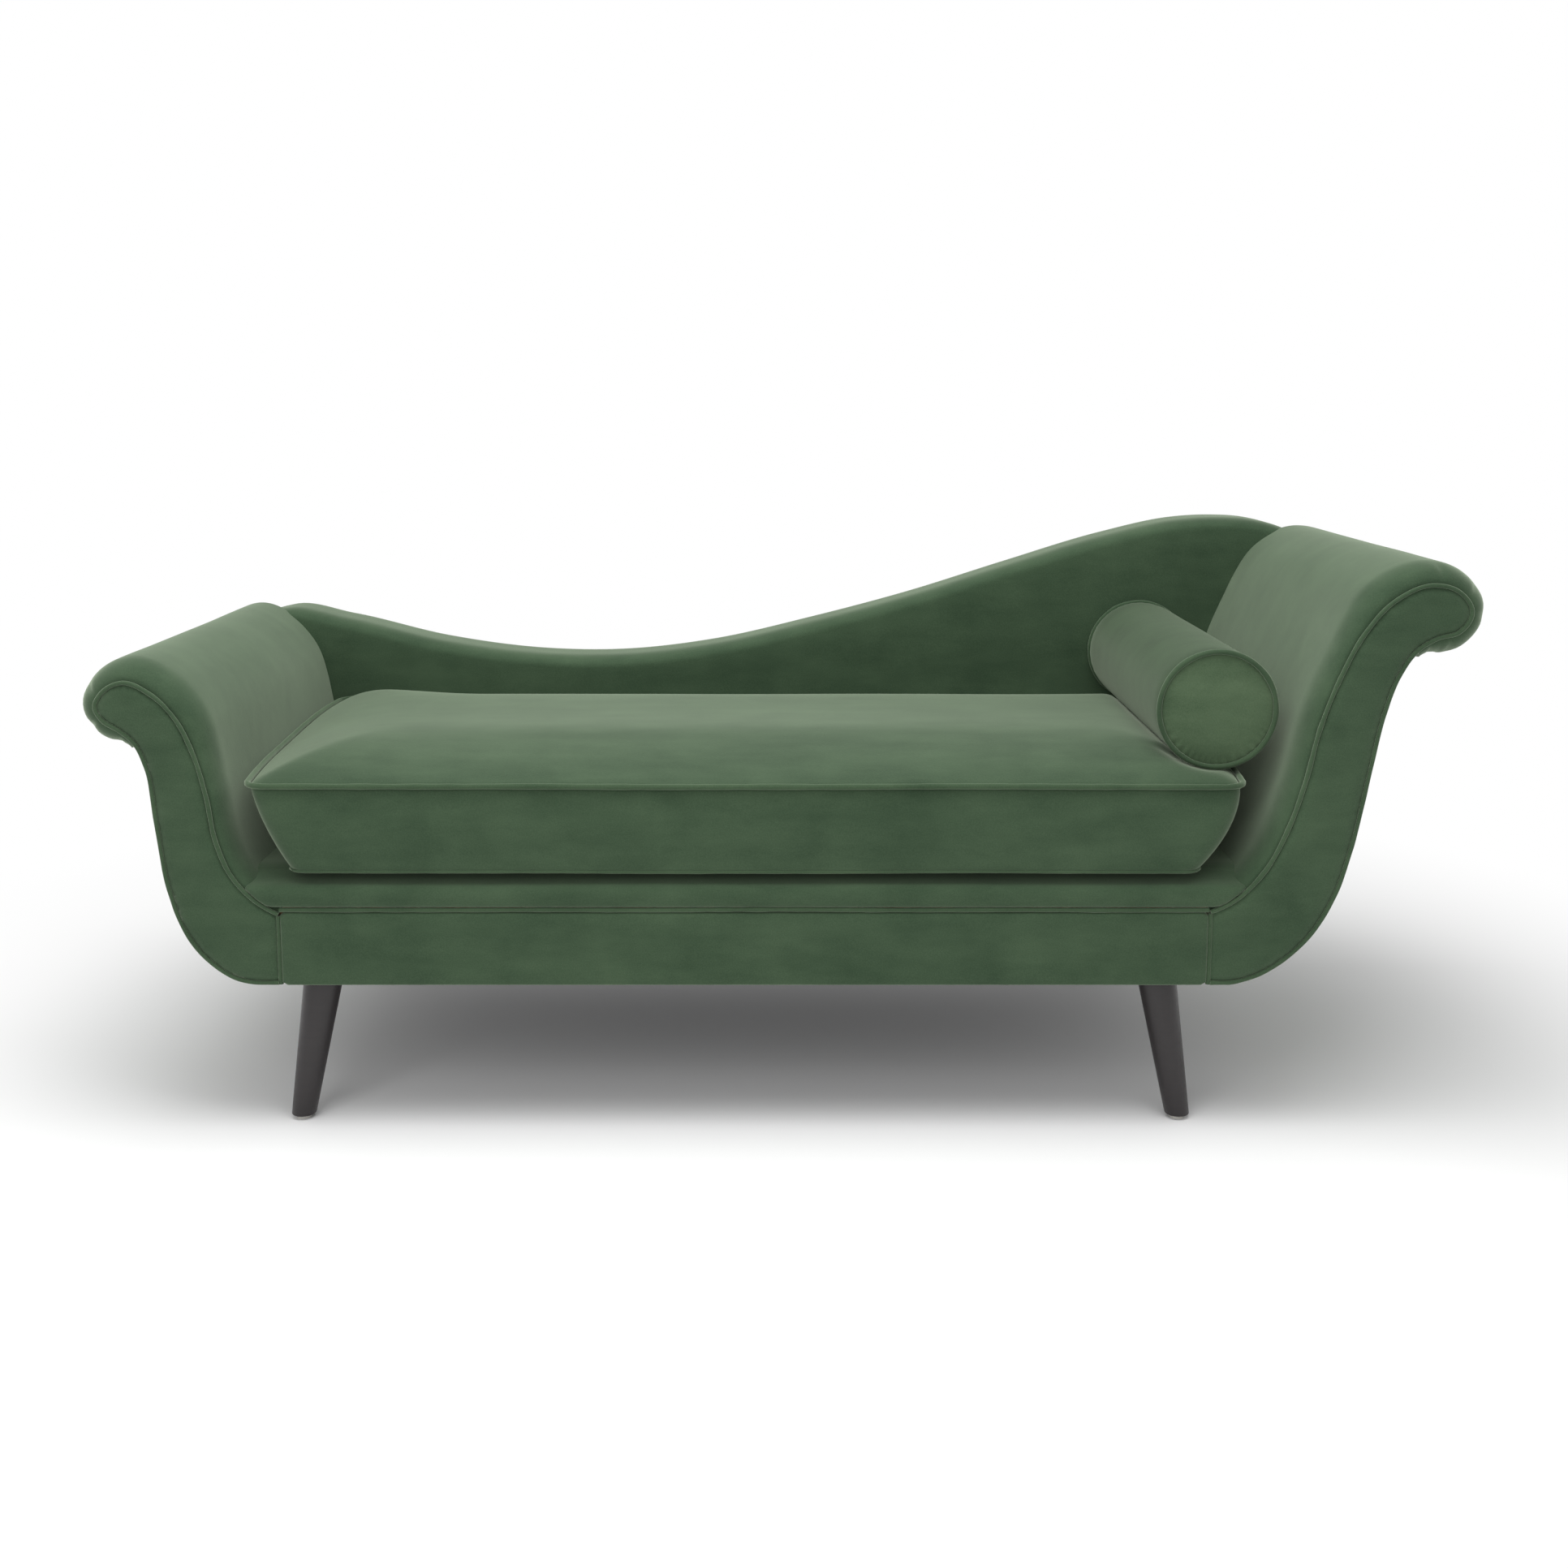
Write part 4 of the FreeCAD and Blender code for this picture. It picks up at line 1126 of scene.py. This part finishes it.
def inflate(piece: bpy.types.Object, held: Sequence[int], pressure: float, frames: int,
            most: float) -> None:
    """Blow a closed cover up from inside, its seams held, and limit how far it moves.

    Args:
        piece: The cover.
        held: The points that stay where they are.
        pressure: The pressure inside.
        frames: How many steps to run.
        most: The most that a point may move, in metres.
    """
    select_only(piece)
    group = piece.vertex_groups.new(name="seams")
    group.add(list(held), 1.0, "REPLACE")
    rest = np.array([vertex.co[:] for vertex in piece.data.vertices])
    cloth = piece.modifiers.new("Cloth", "CLOTH")
    settings = cloth.settings
    settings.quality = 6
    settings.mass = 0.35
    settings.tension_stiffness = 22
    settings.compression_stiffness = 22
    settings.shear_stiffness = 8
    settings.bending_stiffness = 2.5
    settings.air_damping = 3
    settings.effector_weights.gravity = 0.0
    settings.use_pressure = True
    settings.uniform_pressure_force = pressure
    settings.vertex_group_mass = "seams"
    cloth.collision_settings.use_collision = False
    cloth.collision_settings.use_self_collision = False
    cloth.point_cache.frame_start = 1
    cloth.point_cache.frame_end = frames
    scene = bpy.context.scene
    for number in range(1, frames + 1):
        scene.frame_set(number)
    bpy.ops.object.modifier_apply(modifier=cloth.name)
    scene.frame_set(1)
    moved = np.array([vertex.co[:] for vertex in piece.data.vertices]) - rest
    far = np.linalg.norm(moved, axis=1, keepdims=True)
    limit = most * np.tanh(far / most)
    moved *= np.divide(limit, far, out=np.zeros_like(far), where=far > 1e-9)
    piece.data.vertices.foreach_set("co", (rest + moved).astype(np.float32).ravel())
    piece.data.update()
    piece.vertex_groups.clear()
    log.info("%s: blown up by %.1f mm at most", piece.name, 1000 * limit.max())


# Creases in the cushion's front, each as X, Z, slope and depth, in mm
FRONT_CREASES = [(533, 423, 0.75, 1.5), (549, 411, 1.5, 1.9), (519, 430, 0.35, 1.1),
                 (-636, 424, -0.9, 1.1), (-604, 429, -0.35, 0.8), (120, 352, 0.15, 0.7)]


@dataclass
class SeatCushion:
    """The long loose seat cushion: crowned top, slanted boxing, piping at both seams."""

    left_front: float = -662 * MM
    right_front: float = 573 * MM
    left_back: float = -674 * MM
    right_back: float = 607 * MM
    foot_draw: float = 46 * MM
    left_draw: float = 30 * MM
    right_draw: float = 48 * MM
    front: float = -320.3 * MM
    back: float = 226 * MM
    bow: float = 5 * MM
    corner: float = 26 * MM
    bottom: float = 330.4 * MM
    skin: float = 1.2 * MM
    lower_seam: float = 334.6 * MM
    top_seam: float = 441 * MM
    foot_inset: float = 15 * MM
    crown: float = 41 * MM
    crown_reach: float = 150 * MM
    crown_power: float = 2.0
    left_bow: float = 14 * MM
    corner_lift: float = 11 * MM
    puff: float = 4 * MM
    piping_radius: float = 3.7 * MM
    piping_out: float = 3.2 * MM
    piping_lift: float = 0.8 * MM
    across: int = 124
    deep: int = 54
    zip_flat: float = 231.0 * MM
    dip_round: float = 105 * MM

    def loop(self, share: float, outward: float, z: float) -> list[Row]:
        """One closed line round the cushion, as four sides that start at mid-corner.

        Args:
            share: 0 at the lower seam and 1 at the top one.
            outward: How far outside the seam's plan line.
            z: The height.

        Returns:
            The front, right, back and left sides, each in the order of travel.
        """
        down = 1 - min(1.0, max(0.0, share))
        left_curve, right_curve = down ** 1.15, down ** 1.75
        left_front = self.left_front + self.foot_draw * left_curve - outward
        right_front = self.right_front - self.foot_draw * right_curve + outward
        left_back = self.left_back + self.left_draw * left_curve - outward
        right_back = self.right_back - self.right_draw * right_curve + outward
        front, back = self.front - outward, self.back + outward
        radius = max(self.corner + outward, 9 * MM)

        def arc(x: float, y: float, start: float, end: float) -> Row:
            """A stretch of a rounded corner."""
            angles = np.radians(np.linspace(start, end, 9))
            return [Vector((x + radius * math.cos(angle), y + radius * math.sin(angle), z))
                    for angle in angles]

        def bowed(start: Vector, end: Vector, side: float) -> Row:
            """A side, bowed out."""
            shares = np.linspace(0, 1, 25)[1:-1]
            bow = self.bow if side > 0 else self.left_bow
            return [start.lerp(end, at) + Vector((side * bow * 4 * at * (1 - at), 0, 0))
                    for at in shares]

        corners = {
            "front_left": arc(left_front + radius, front + radius, 180, 270),
            "front_right": arc(right_front - radius, front + radius, 270, 360),
            "back_right": arc(right_back - radius, back - radius, 0, 90),
            "back_left": arc(left_back + radius, back - radius, 90, 180),
        }
        fl, fr = corners["front_left"], corners["front_right"]
        br, bl = corners["back_right"], corners["back_left"]
        sides = [fl[4:] + fr[:5],
                 fr[4:] + bowed(fr[-1], br[0], 1) + br[:5],
                 br[4:] + bl[:5],
                 bl[4:] + bowed(bl[-1], fl[0], -1) + fl[:5]]
        counts = (self.across, self.deep, self.across, self.deep)
        found = [resampled(side, count + 1, closed=False) for side, count in zip(sides, counts)]
        for side in found:
            for point in side:
                point.z += 1.1 * MM * noise.noise(Vector((point.x * 5, point.y * 5, 4.4)))
                point.z += self.corner_lift * (1 - down) * ease((point.y + 0.12) / 0.3) \
                    * ease((-point.x - 0.42) / 0.24)
        return found

    @staticmethod
    def joined(sides: list[Row]) -> Row:
        """The four sides as one closed line."""
        return [point for side in sides for point in side[:-1]]

    def panel(self, sides: list[Row], rise: Callable[[float], float]) -> list[Row]:
        """Spread a grid between four sides.

        Args:
            sides: The front, right, back and left sides.
            rise: The height above the rim by the distance from it.

        Returns:
            The rows, from the front to the back.
        """
        front, right = sides[0], sides[1]
        back, left = sides[2][::-1], sides[3][::-1]
        rim = np.array([tuple(point)[:2] for point in self.joined(sides)])
        rows = []
        for row in range(self.deep + 1):
            v = row / self.deep
            points = []
            for column in range(self.across + 1):
                u = column / self.across
                point = front[column] * (1 - v) + back[column] * v \
                    + left[row] * (1 - u) + right[row] * u \
                    - front[0] * (1 - u) * (1 - v) - front[-1] * u * (1 - v) \
                    - back[0] * (1 - u) * v - back[-1] * u * v
                points.append(point)
            rows.append(points)
        flat = np.array([tuple(point)[:2] for points in rows for point in points])
        gaps = distance_to(rim, flat)
        for number, gap in enumerate(gaps):
            rows[number // (self.across + 1)][number % (self.across + 1)].z += rise(gap)
        return rows

    def body(self) -> bpy.types.Object:
        """Build the stuffed cushion between its seams, and blow it up."""
        def crown(gap: float) -> float:
            """Height of the crown by the distance from the seam."""
            share = min(1.0, gap / self.crown_reach)
            return self.crown * (1 - (1 - share) ** self.crown_power)

        top = self.panel(self.loop(1, 0, self.top_seam), crown)
        bottom = self.panel(self.loop(0, -self.foot_inset, self.bottom + self.skin),
                            lambda gap: 0.0)
        height = self.top_seam - self.lower_seam
        rings = [self.joined(self.loop(0, -self.foot_inset, self.bottom + self.skin))]
        for share in (1 / 3, 2 / 3):
            rings.append(self.joined(self.loop(0, -self.foot_inset * (1 - quarter(share)),
                                               self.bottom + self.skin
                                               + (self.lower_seam - self.bottom) * share)))
        seam_ring = len(rings)
        for step in range(11):
            share = step / 10
            outward = self.puff * 4 * share * (1 - share)
            rings.append(self.joined(self.loop(share, outward,
                                               self.lower_seam + height * share)))
        points = [point for row in top for point in row]
        faces = grid(self.deep + 1, self.across + 1)
        shift = len(points)
        points += [point for row in bottom for point in row]
        faces += [tuple(reversed(face)) for face in
                  grid(self.deep + 1, self.across + 1, shift)]
        start = len(points)
        points += [point for ring in rings for point in ring]
        faces += grid(len(rings), len(rings[0]), start, round_columns=True)
        piece = make_piece("seat_cushion_velvet", points, faces, angle=80)
        seams = {self.key(point) for ring in (rings[seam_ring], rings[-1])
                 for point in ring}
        held = [vertex.index for vertex in piece.data.vertices
                if self.key(vertex.co) in seams or vertex.co.z < self.lower_seam - 2 * MM]
        inflate(piece, held, 3.2, 18, 7 * MM)
        self.settle(piece)
        apply_modifier(piece, "SUBSURF", levels=1, render_levels=1)
        return piece

    @staticmethod
    def key(point: Vector) -> tuple[int, int, int]:
        """A point's place to a twentieth of a millimetre."""
        return tuple(round(value * 20000) for value in point)

    def settle(self, piece: bpy.types.Object) -> None:
        """Press a hollow under the bolster, flatten the zip's place and add the creases.

        Args:
            piece: The cushion.
        """
        low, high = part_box("bolster_cover")
        axis_x, axis_z = (low.x + high.x) / 2, (low.z + high.z) / 2
        radius = (high.z - low.z) / 2 + 0.8 * MM
        for vertex in piece.data.vertices:
            point = vertex.co
            if point.z > self.top_seam - 4 * MM and low.y - 12 * MM < point.y < high.y + 12 * MM:
                across = point.x - axis_x
                if abs(across) < radius:
                    under = axis_z - math.sqrt(radius ** 2 - across ** 2)
                    ends = ease(min(point.y - low.y, high.y - point.y) / (12 * MM) + 1)
                    if point.z > under:
                        point.z += (under - point.z) * ends
            if point.z > self.top_seam and point.y < low.y + 40 * MM:
                ahead = max(0.0, low.y - 4 * MM - point.y)
                across = point.x - axis_x
                dip = low.z - 1.2 * MM + across ** 2 / (2 * self.dip_round) + 0.1 * ahead
                over = point.z - dip
                if over > 0:
                    point.z -= over * ease(1.5 - abs(across) / (90 * MM))
            if point.y > self.zip_flat:
                point.y = self.zip_flat
            if point.y < self.front + 30 * MM and point.z < self.top_seam - 3 * MM:
                for x, z, slope, depth in FRONT_CREASES:
                    along = ((point.x - x * MM) + slope * (point.z - z * MM)) \
                        / math.hypot(1, slope)
                    off = ((point.z - z * MM) - slope * (point.x - x * MM)) \
                        / math.hypot(1, slope)
                    fold = math.exp(-(along / (16 * MM)) ** 2 - (off / (5 * MM)) ** 2)
                    point.y += depth * MM * fold
        piece.data.update()

    def piping(self, name: str, share: float, z: float, out: float,
               radius: float) -> bpy.types.Object:
        """Build the piping round one seam.

        Args:
            name: The piece's name.
            share: 0 at the lower seam and 1 at the top one.
            z: The height.
            out: How far outside the seam its middle is.
            radius: Its radius.

        Returns:
            The closed tube.
        """
        return tube(name, self.joined(self.loop(share, out, z)), radius, closed=True,
                    wobble=0.14)

    def build(self) -> None:
        """Build and dress the cushion."""
        dress(self.body(), VELVET, Body.CUSHION,
              ["cushion_cover", "cushion_core"])
        top = self.piping("seat_cushion_top_piping", 1, self.top_seam + self.piping_lift,
                          self.piping_out, self.piping_radius)
        lower = self.piping("seat_cushion_lower_piping", 0, self.lower_seam - 2 * MM,
                            -1.5 * MM, 2.2 * MM)
        for welt in (top, lower):
            dress(welt, PIPING_VELVET, Body.CUSHION, ["cushion_welts"])


@dataclass
class Bolster:
    """The round bolster: side cloth between two piped end panels, gathered at their rims."""

    seam_radius: float = 73.3 * MM
    full_radius: float = 76.4 * MM
    ease_length: float = 30 * MM
    dome: float = 7 * MM
    piping_radius: float = 3.5 * MM
    around: int = 160

    def __post_init__(self) -> None:
        """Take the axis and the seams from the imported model."""
        low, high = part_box("bolster_cover")
        self.x, self.z = (low.x + high.x) / 2, (low.z + high.z) / 2
        self.front, self.back = low.y, high.y

    def ring(self, y: float, radius: Callable[[float], float]) -> Row:
        """A ring about the axis, its radius by the angle."""
        turns = [math.tau * step / self.around for step in range(self.around)]
        return [Vector((self.x + radius(turn) * math.cos(turn), y,
                        self.z + radius(turn) * math.sin(turn))) for turn in turns]

    def side_radius(self, y: float, turn: float) -> float:
        """Radius of the side cloth, drawn in and gathered at both seams."""
        gap = min(y - self.front, self.back - y)
        eased = quarter(gap / self.ease_length)
        radius = self.seam_radius + (self.full_radius - self.seam_radius) * eased
        gather = math.sin(turn * 37 + 2.5 * math.sin(turn * 3)) * math.exp(-gap / (11 * MM))
        lumps = noise.noise(Vector((math.cos(turn) * 1.4, y * 7, math.sin(turn) * 1.4)))
        return radius - 0.35 * MM * (1 + gather) * min(1, gap / (3 * MM)) \
            + 0.7 * MM * (lumps - 0.6) * eased

    def end_rows(self, sign: int) -> list[Row]:
        """Rings of an end panel from its rim inwards, puckered low on the disc.

        Args:
            sign: -1 for the front end and 1 for the back one.

        Returns:
            The rings, and last the middle ring.
        """
        seam = self.front if sign < 0 else self.back
        rows = []
        for share in (0.985, 0.96, 0.93, 0.89, 0.84, 0.78, 0.7, 0.6, 0.48, 0.34, 0.18, 0.06):
            row = []
            for step in range(self.around):
                turn = math.tau * step / self.around
                low = ease((-math.sin(turn) - 0.15) / 0.6)
                inside = (1 - share) * self.seam_radius
                pucker = math.sin(turn * 41 + 3 * math.sin(turn * 4 + 1)) \
                    * math.exp(-((inside - 5 * MM) / (6 * MM)) ** 2)
                rise = self.dome * quarter((1 - share) / 0.85)
                wave = 0.8 * MM * noise.noise(Vector((share * math.cos(turn) * 2.2,
                                                      share * math.sin(turn) * 2.2, sign)))
                out = rise + (0.25 + 0.95 * low) * MM * pucker + wave * (1 - share)
                row.append(Vector((self.x + share * self.seam_radius * math.cos(turn),
                                   seam + sign * out,
                                   self.z + share * self.seam_radius * math.sin(turn))))
            rows.append(row)
        return rows

    def body(self) -> bpy.types.Object:
        """Build the stuffed bolster."""
        near = [0, 1.5, 3.5, 6, 9, 13, 18, 24, 31]
        length = self.back - self.front
        gaps = [step * MM for step in near]
        while gaps[-1] < length / 2 - 10 * MM:
            gaps.append(gaps[-1] + 9 * MM)
        depths = [self.front + gap for gap in gaps] + [self.back - gap for gap in gaps[::-1]]
        rings = self.end_rows(-1)[::-1]
        rings += [self.ring(y, lambda turn, y=y: self.side_radius(y, turn)) for y in depths]
        rings += self.end_rows(1)
        points = [point for ring in rings for point in ring]
        faces = grid(len(rings), self.around, round_columns=True)
        faces += [tuple(range(self.around)),
                  tuple(range(len(points) - self.around, len(points)))]
        return make_piece("bolster_velvet", points, faces, angle=70)

    def piping(self) -> bpy.types.Object:
        """Build the piping round both ends as one piece."""
        tubes = []
        for number, y in enumerate((self.front - 3.8 * MM, self.back + 3.8 * MM)):
            path = self.ring(y, lambda turn: self.seam_radius + 0.2 * MM)
            tubes.append(tube(f"bolster_piping_{number}", path, self.piping_radius,
                              closed=True, wobble=0.14))
        select_only(tubes[0])
        tubes[1].select_set(True)
        bpy.ops.object.join()
        tubes[0].name = "bolster_piping"
        return tubes[0]

    def build(self) -> None:
        """Build and dress the bolster."""
        body = dress(self.body(), BOLSTER_SIDE_PAINTED_SHADE_VELVET, Body.BOLSTER,
                     ["bolster_cover", "bolster_core", "bolster_end_panels"])
        # The end discs get the paler velvet with painted light; the side keeps the darker velvet
        # with painted shade.
        body.data.materials.append(wardrobe.get(DISC_PAINTED_LIGHT_VELVET))
        for face in body.data.polygons:
            if not self.front < face.center.y < self.back:
                face.material_index = 1
        dress(self.piping(), PIPING_VELVET, Body.BOLSTER, ["bolster_welts"])


@dataclass
class SplayedLegs:
    """Four round tapered legs, splayed outwards."""

    top_radius: float = 25 * MM
    foot_radius: float = 15.5 * MM
    top_z: float = 187.5 * MM
    foot_z: float = 5 * MM
    edge: float = 1.6 * MM
    sides: int = 56
    names: tuple[str, ...] = ("front_left_leg", "front_right_leg", "rear_left_leg",
                              "rear_right_leg")

    def leg(self, name: str) -> bpy.types.Object:
        """Shape one leg from a cylinder, as on a bench.

        Args:
            name: The CAD node's name.

        Returns:
            The leg.
        """
        low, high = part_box(name)
        left, front = "left" in name, "front" in name
        top = Vector((high.x - self.top_radius if left else low.x + self.top_radius,
                      high.y - self.top_radius if front else low.y + self.top_radius))
        foot = Vector((low.x + self.foot_radius if left else high.x - self.foot_radius,
                       low.y + self.foot_radius if front else high.y - self.foot_radius))
        bpy.ops.object.select_all(action="DESELECT")
        bpy.ops.mesh.primitive_cylinder_add(
            vertices=self.sides, radius=self.top_radius, depth=self.top_z - self.foot_z,
            location=(top.x, top.y, (self.top_z + self.foot_z) / 2))
        leg = bpy.context.object
        leg.name = leg.data.name = name + "_turned"
        bpy.ops.object.transform_apply(location=True, rotation=True, scale=True)
        bpy.ops.object.mode_set(mode="EDIT")
        built = bmesh.from_edit_mesh(leg.data)
        for vertex in built.verts:
            vertex.select = vertex.co.z < (self.top_z + self.foot_z) / 2
        built.select_flush_mode()
        bmesh.update_edit_mesh(leg.data)
        share = self.foot_radius / self.top_radius
        bpy.ops.transform.resize(value=(share, share, 1),
                                 center_override=(top.x, top.y, self.foot_z))
        bpy.ops.transform.translate(value=(foot.x - top.x, foot.y - top.y, 0))
        built = bmesh.from_edit_mesh(leg.data)
        for edge in built.edges:
            edge.select = abs(edge.verts[0].co.z - edge.verts[1].co.z) < 1e-5
        bmesh.update_edit_mesh(leg.data)
        bpy.ops.mesh.bevel(offset=self.edge, segments=3)
        bpy.ops.object.mode_set(mode="OBJECT")
        select_only(leg)
        bpy.ops.object.shade_smooth_by_angle(angle=math.radians(45))
        return leg

    def build(self) -> None:
        """Build and dress the legs."""
        for name in self.names:
            dress(self.leg(name), STAINED_WOOD, Body.FRAME, [name])


# Inner and metal parts that keep their CAD shape
CARRIED_OVER: dict[Finish, tuple[str, ...]] = {
    BEECH: ("front_rail", "back_rail", "low_arm_end_rail", "high_arm_end_rail",
            "seat_cross_rails", "corner_blocks", "low_arm_front_board", "high_arm_front_board",
            "low_arm_rear_board", "high_arm_rear_board", "low_arm_battens",
            "high_arm_battens", "back_top_rail", "back_posts"),
    WEBBING: ("back_webbing",),
    SPRING_STEEL: ("seat_springs",),
    ZINC_STEEL: ("spring_clips", "leg_plates", "hanger_bolts", "leg_plate_screws",
                 "frame_screws"),
    BURLAP: ("deck_burlap",),
    CAMBRIC: ("dust_cover",),
    GLIDE_NYLON: ("leg_glides",),
    ZIP_CLOTH: ("cushion_zip", "bolster_zip"),
    ZIP_BRASS: ("cushion_zip_slider", "bolster_zip_slider"),
}


def dress_carried_over() -> None:
    """Give every CAD node that stays visible its finish."""
    for finish, names in CARRIED_OVER.items():
        for name in names:
            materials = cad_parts[name].data.materials
            materials.clear()
            materials.append(wardrobe.get(finish))
            log.info("%s: CAD piece in %s", name, finish.name)


@dataclass
class Studio:
    """Pale floor, soft light and the photograph's camera."""

    distance: float = 2.410
    height: float = 0.931
    across: float = 0.004
    pitch: float = 8.0
    focal_share: float = 2136 / 1932
    shift_up: float = -0.0988
    world_strength: float = 0.52

    def camera(self) -> None:
        """Set up the camera at the photograph's angle."""
        lens = bpy.data.cameras.new("camera")
        lens.sensor_width = 36.0
        lens.sensor_fit = "HORIZONTAL"
        lens.lens = 36.0 * self.focal_share
        lens.shift_y = self.shift_up
        camera = bpy.data.objects.new("camera", lens)
        camera.location = (self.across, -self.distance, self.height)
        camera.rotation_euler = (math.radians(90 - self.pitch), 0.0, 0.0)
        bpy.context.scene.collection.objects.link(camera)
        bpy.context.scene.camera = camera

    def floor(self) -> None:
        """Lay a pale floor that fades to white away from the piece."""
        bpy.ops.object.select_all(action="DESELECT")
        bpy.ops.mesh.primitive_circle_add(vertices=96, radius=9.0, fill_type="NGON")
        floor = bpy.context.object
        floor.name = "studio_floor"
        material, tree, place = new_material("matt_white_paper")
        reach = add_node(tree, "ShaderNodeVectorMath", {0: place}, operation="LENGTH")
        fade = add_node(tree, "ShaderNodeMapRange",
                        {"Value": reach.outputs["Value"], "From Min": 0.95, "From Max": 1.7},
                        interpolation_type="SMOOTHSTEP")
        paper = add_node(tree, "ShaderNodeBsdfDiffuse", {"Color": linear("#fbfbfb")})
        white = add_node(tree, "ShaderNodeEmission", {"Color": (1, 1, 1, 1), "Strength": 1.0})
        mixed = add_node(tree, "ShaderNodeMixShader",
                         {0: fade.outputs[0], 1: paper.outputs[0], 2: white.outputs[0]})
        add_node(tree, "ShaderNodeOutputMaterial", {"Surface": mixed.outputs[0]})
        floor.data.materials.append(material)

    def lamp(self, name: str, place: tuple[float, float, float],
             target: tuple[float, float, float], size: tuple[float, float],
             power: float) -> None:
        """Hang one soft rectangular lamp.

        Args:
            name: The lamp's name.
            place: Where it hangs.
            target: What it points at.
            size: Its width and height.
            power: Its power in watts.
        """
        light = bpy.data.lights.new(name, "AREA")
        light.shape = "RECTANGLE"
        light.size, light.size_y = size
        light.energy = power
        lamp = bpy.data.objects.new(name, light)
        lamp.location = place
        aim = Vector(target) - Vector(place)
        lamp.rotation_euler = aim.to_track_quat("-Z", "Y").to_euler()
        bpy.context.scene.collection.objects.link(lamp)

    def world(self) -> None:
        """Make the surroundings white to the eye and an even soft light to the piece."""
        world = bpy.data.worlds.new("white_studio")
        world.use_nodes = True
        tree = world.node_tree
        tree.nodes.clear()
        path = add_node(tree, "ShaderNodeLightPath")
        seen = add_node(tree, "ShaderNodeMath",
                        {0: path.outputs["Is Camera Ray"], 1: path.outputs["Is Glossy Ray"]},
                        operation="MAXIMUM")
        seen = add_node(tree, "ShaderNodeMath",
                        {0: seen.outputs[0], 1: path.outputs["Is Transmission Ray"]},
                        operation="MAXIMUM")
        soft = add_node(tree, "ShaderNodeBackground",
                        {"Color": (1, 1, 1, 1), "Strength": self.world_strength})
        white = add_node(tree, "ShaderNodeBackground",
                         {"Color": (1, 1, 1, 1), "Strength": 1.0})
        mixed = add_node(tree, "ShaderNodeMixShader",
                         {0: seen.outputs[0], 1: soft.outputs[0], 2: white.outputs[0]})
        add_node(tree, "ShaderNodeOutputWorld", {"Surface": mixed.outputs[0]})
        bpy.context.scene.world = world

    def build(self) -> None:
        """Build the whole studio."""
        self.camera()
        self.floor()
        self.world()
        self.lamp("overhead_softbox", (-0.2, -0.5, 2.6), (0.0, 0.0, 0.45), (2.6, 1.6), 54.0)
        self.lamp("front_softbox", (-1.2, -2.8, 1.9), (0.0, 0.0, 0.4), (1.8, 1.6), 20.0)
        bpy.context.scene.view_settings.view_transform = "Standard"


def main() -> None:
    """Build the studio, then each part of the chaise longue in turn."""
    logging.basicConfig(level=logging.INFO, format="%(name)s: %(message)s")
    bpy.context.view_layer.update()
    Studio().build()
    low_arm = ScrollArm("low_arm", -1, LEFT_SEAM_X, LOW_SCROLL, 13, LOW_PLEATS)
    high_arm = ScrollArm("high_arm", 1, RIGHT_SEAM_X, HIGH_SCROLL, 14, HIGH_PLEATS)
    low_arm.build()
    high_arm.build()
    WaveBack(low_arm, high_arm, LOW_LINE, HIGH_LINE).build()
    Base(low_arm, high_arm).build()
    SeatCushion().build()
    Bolster().build()
    SplayedLegs().build()
    dress_carried_over()


if __name__ == "__main__":
    main()
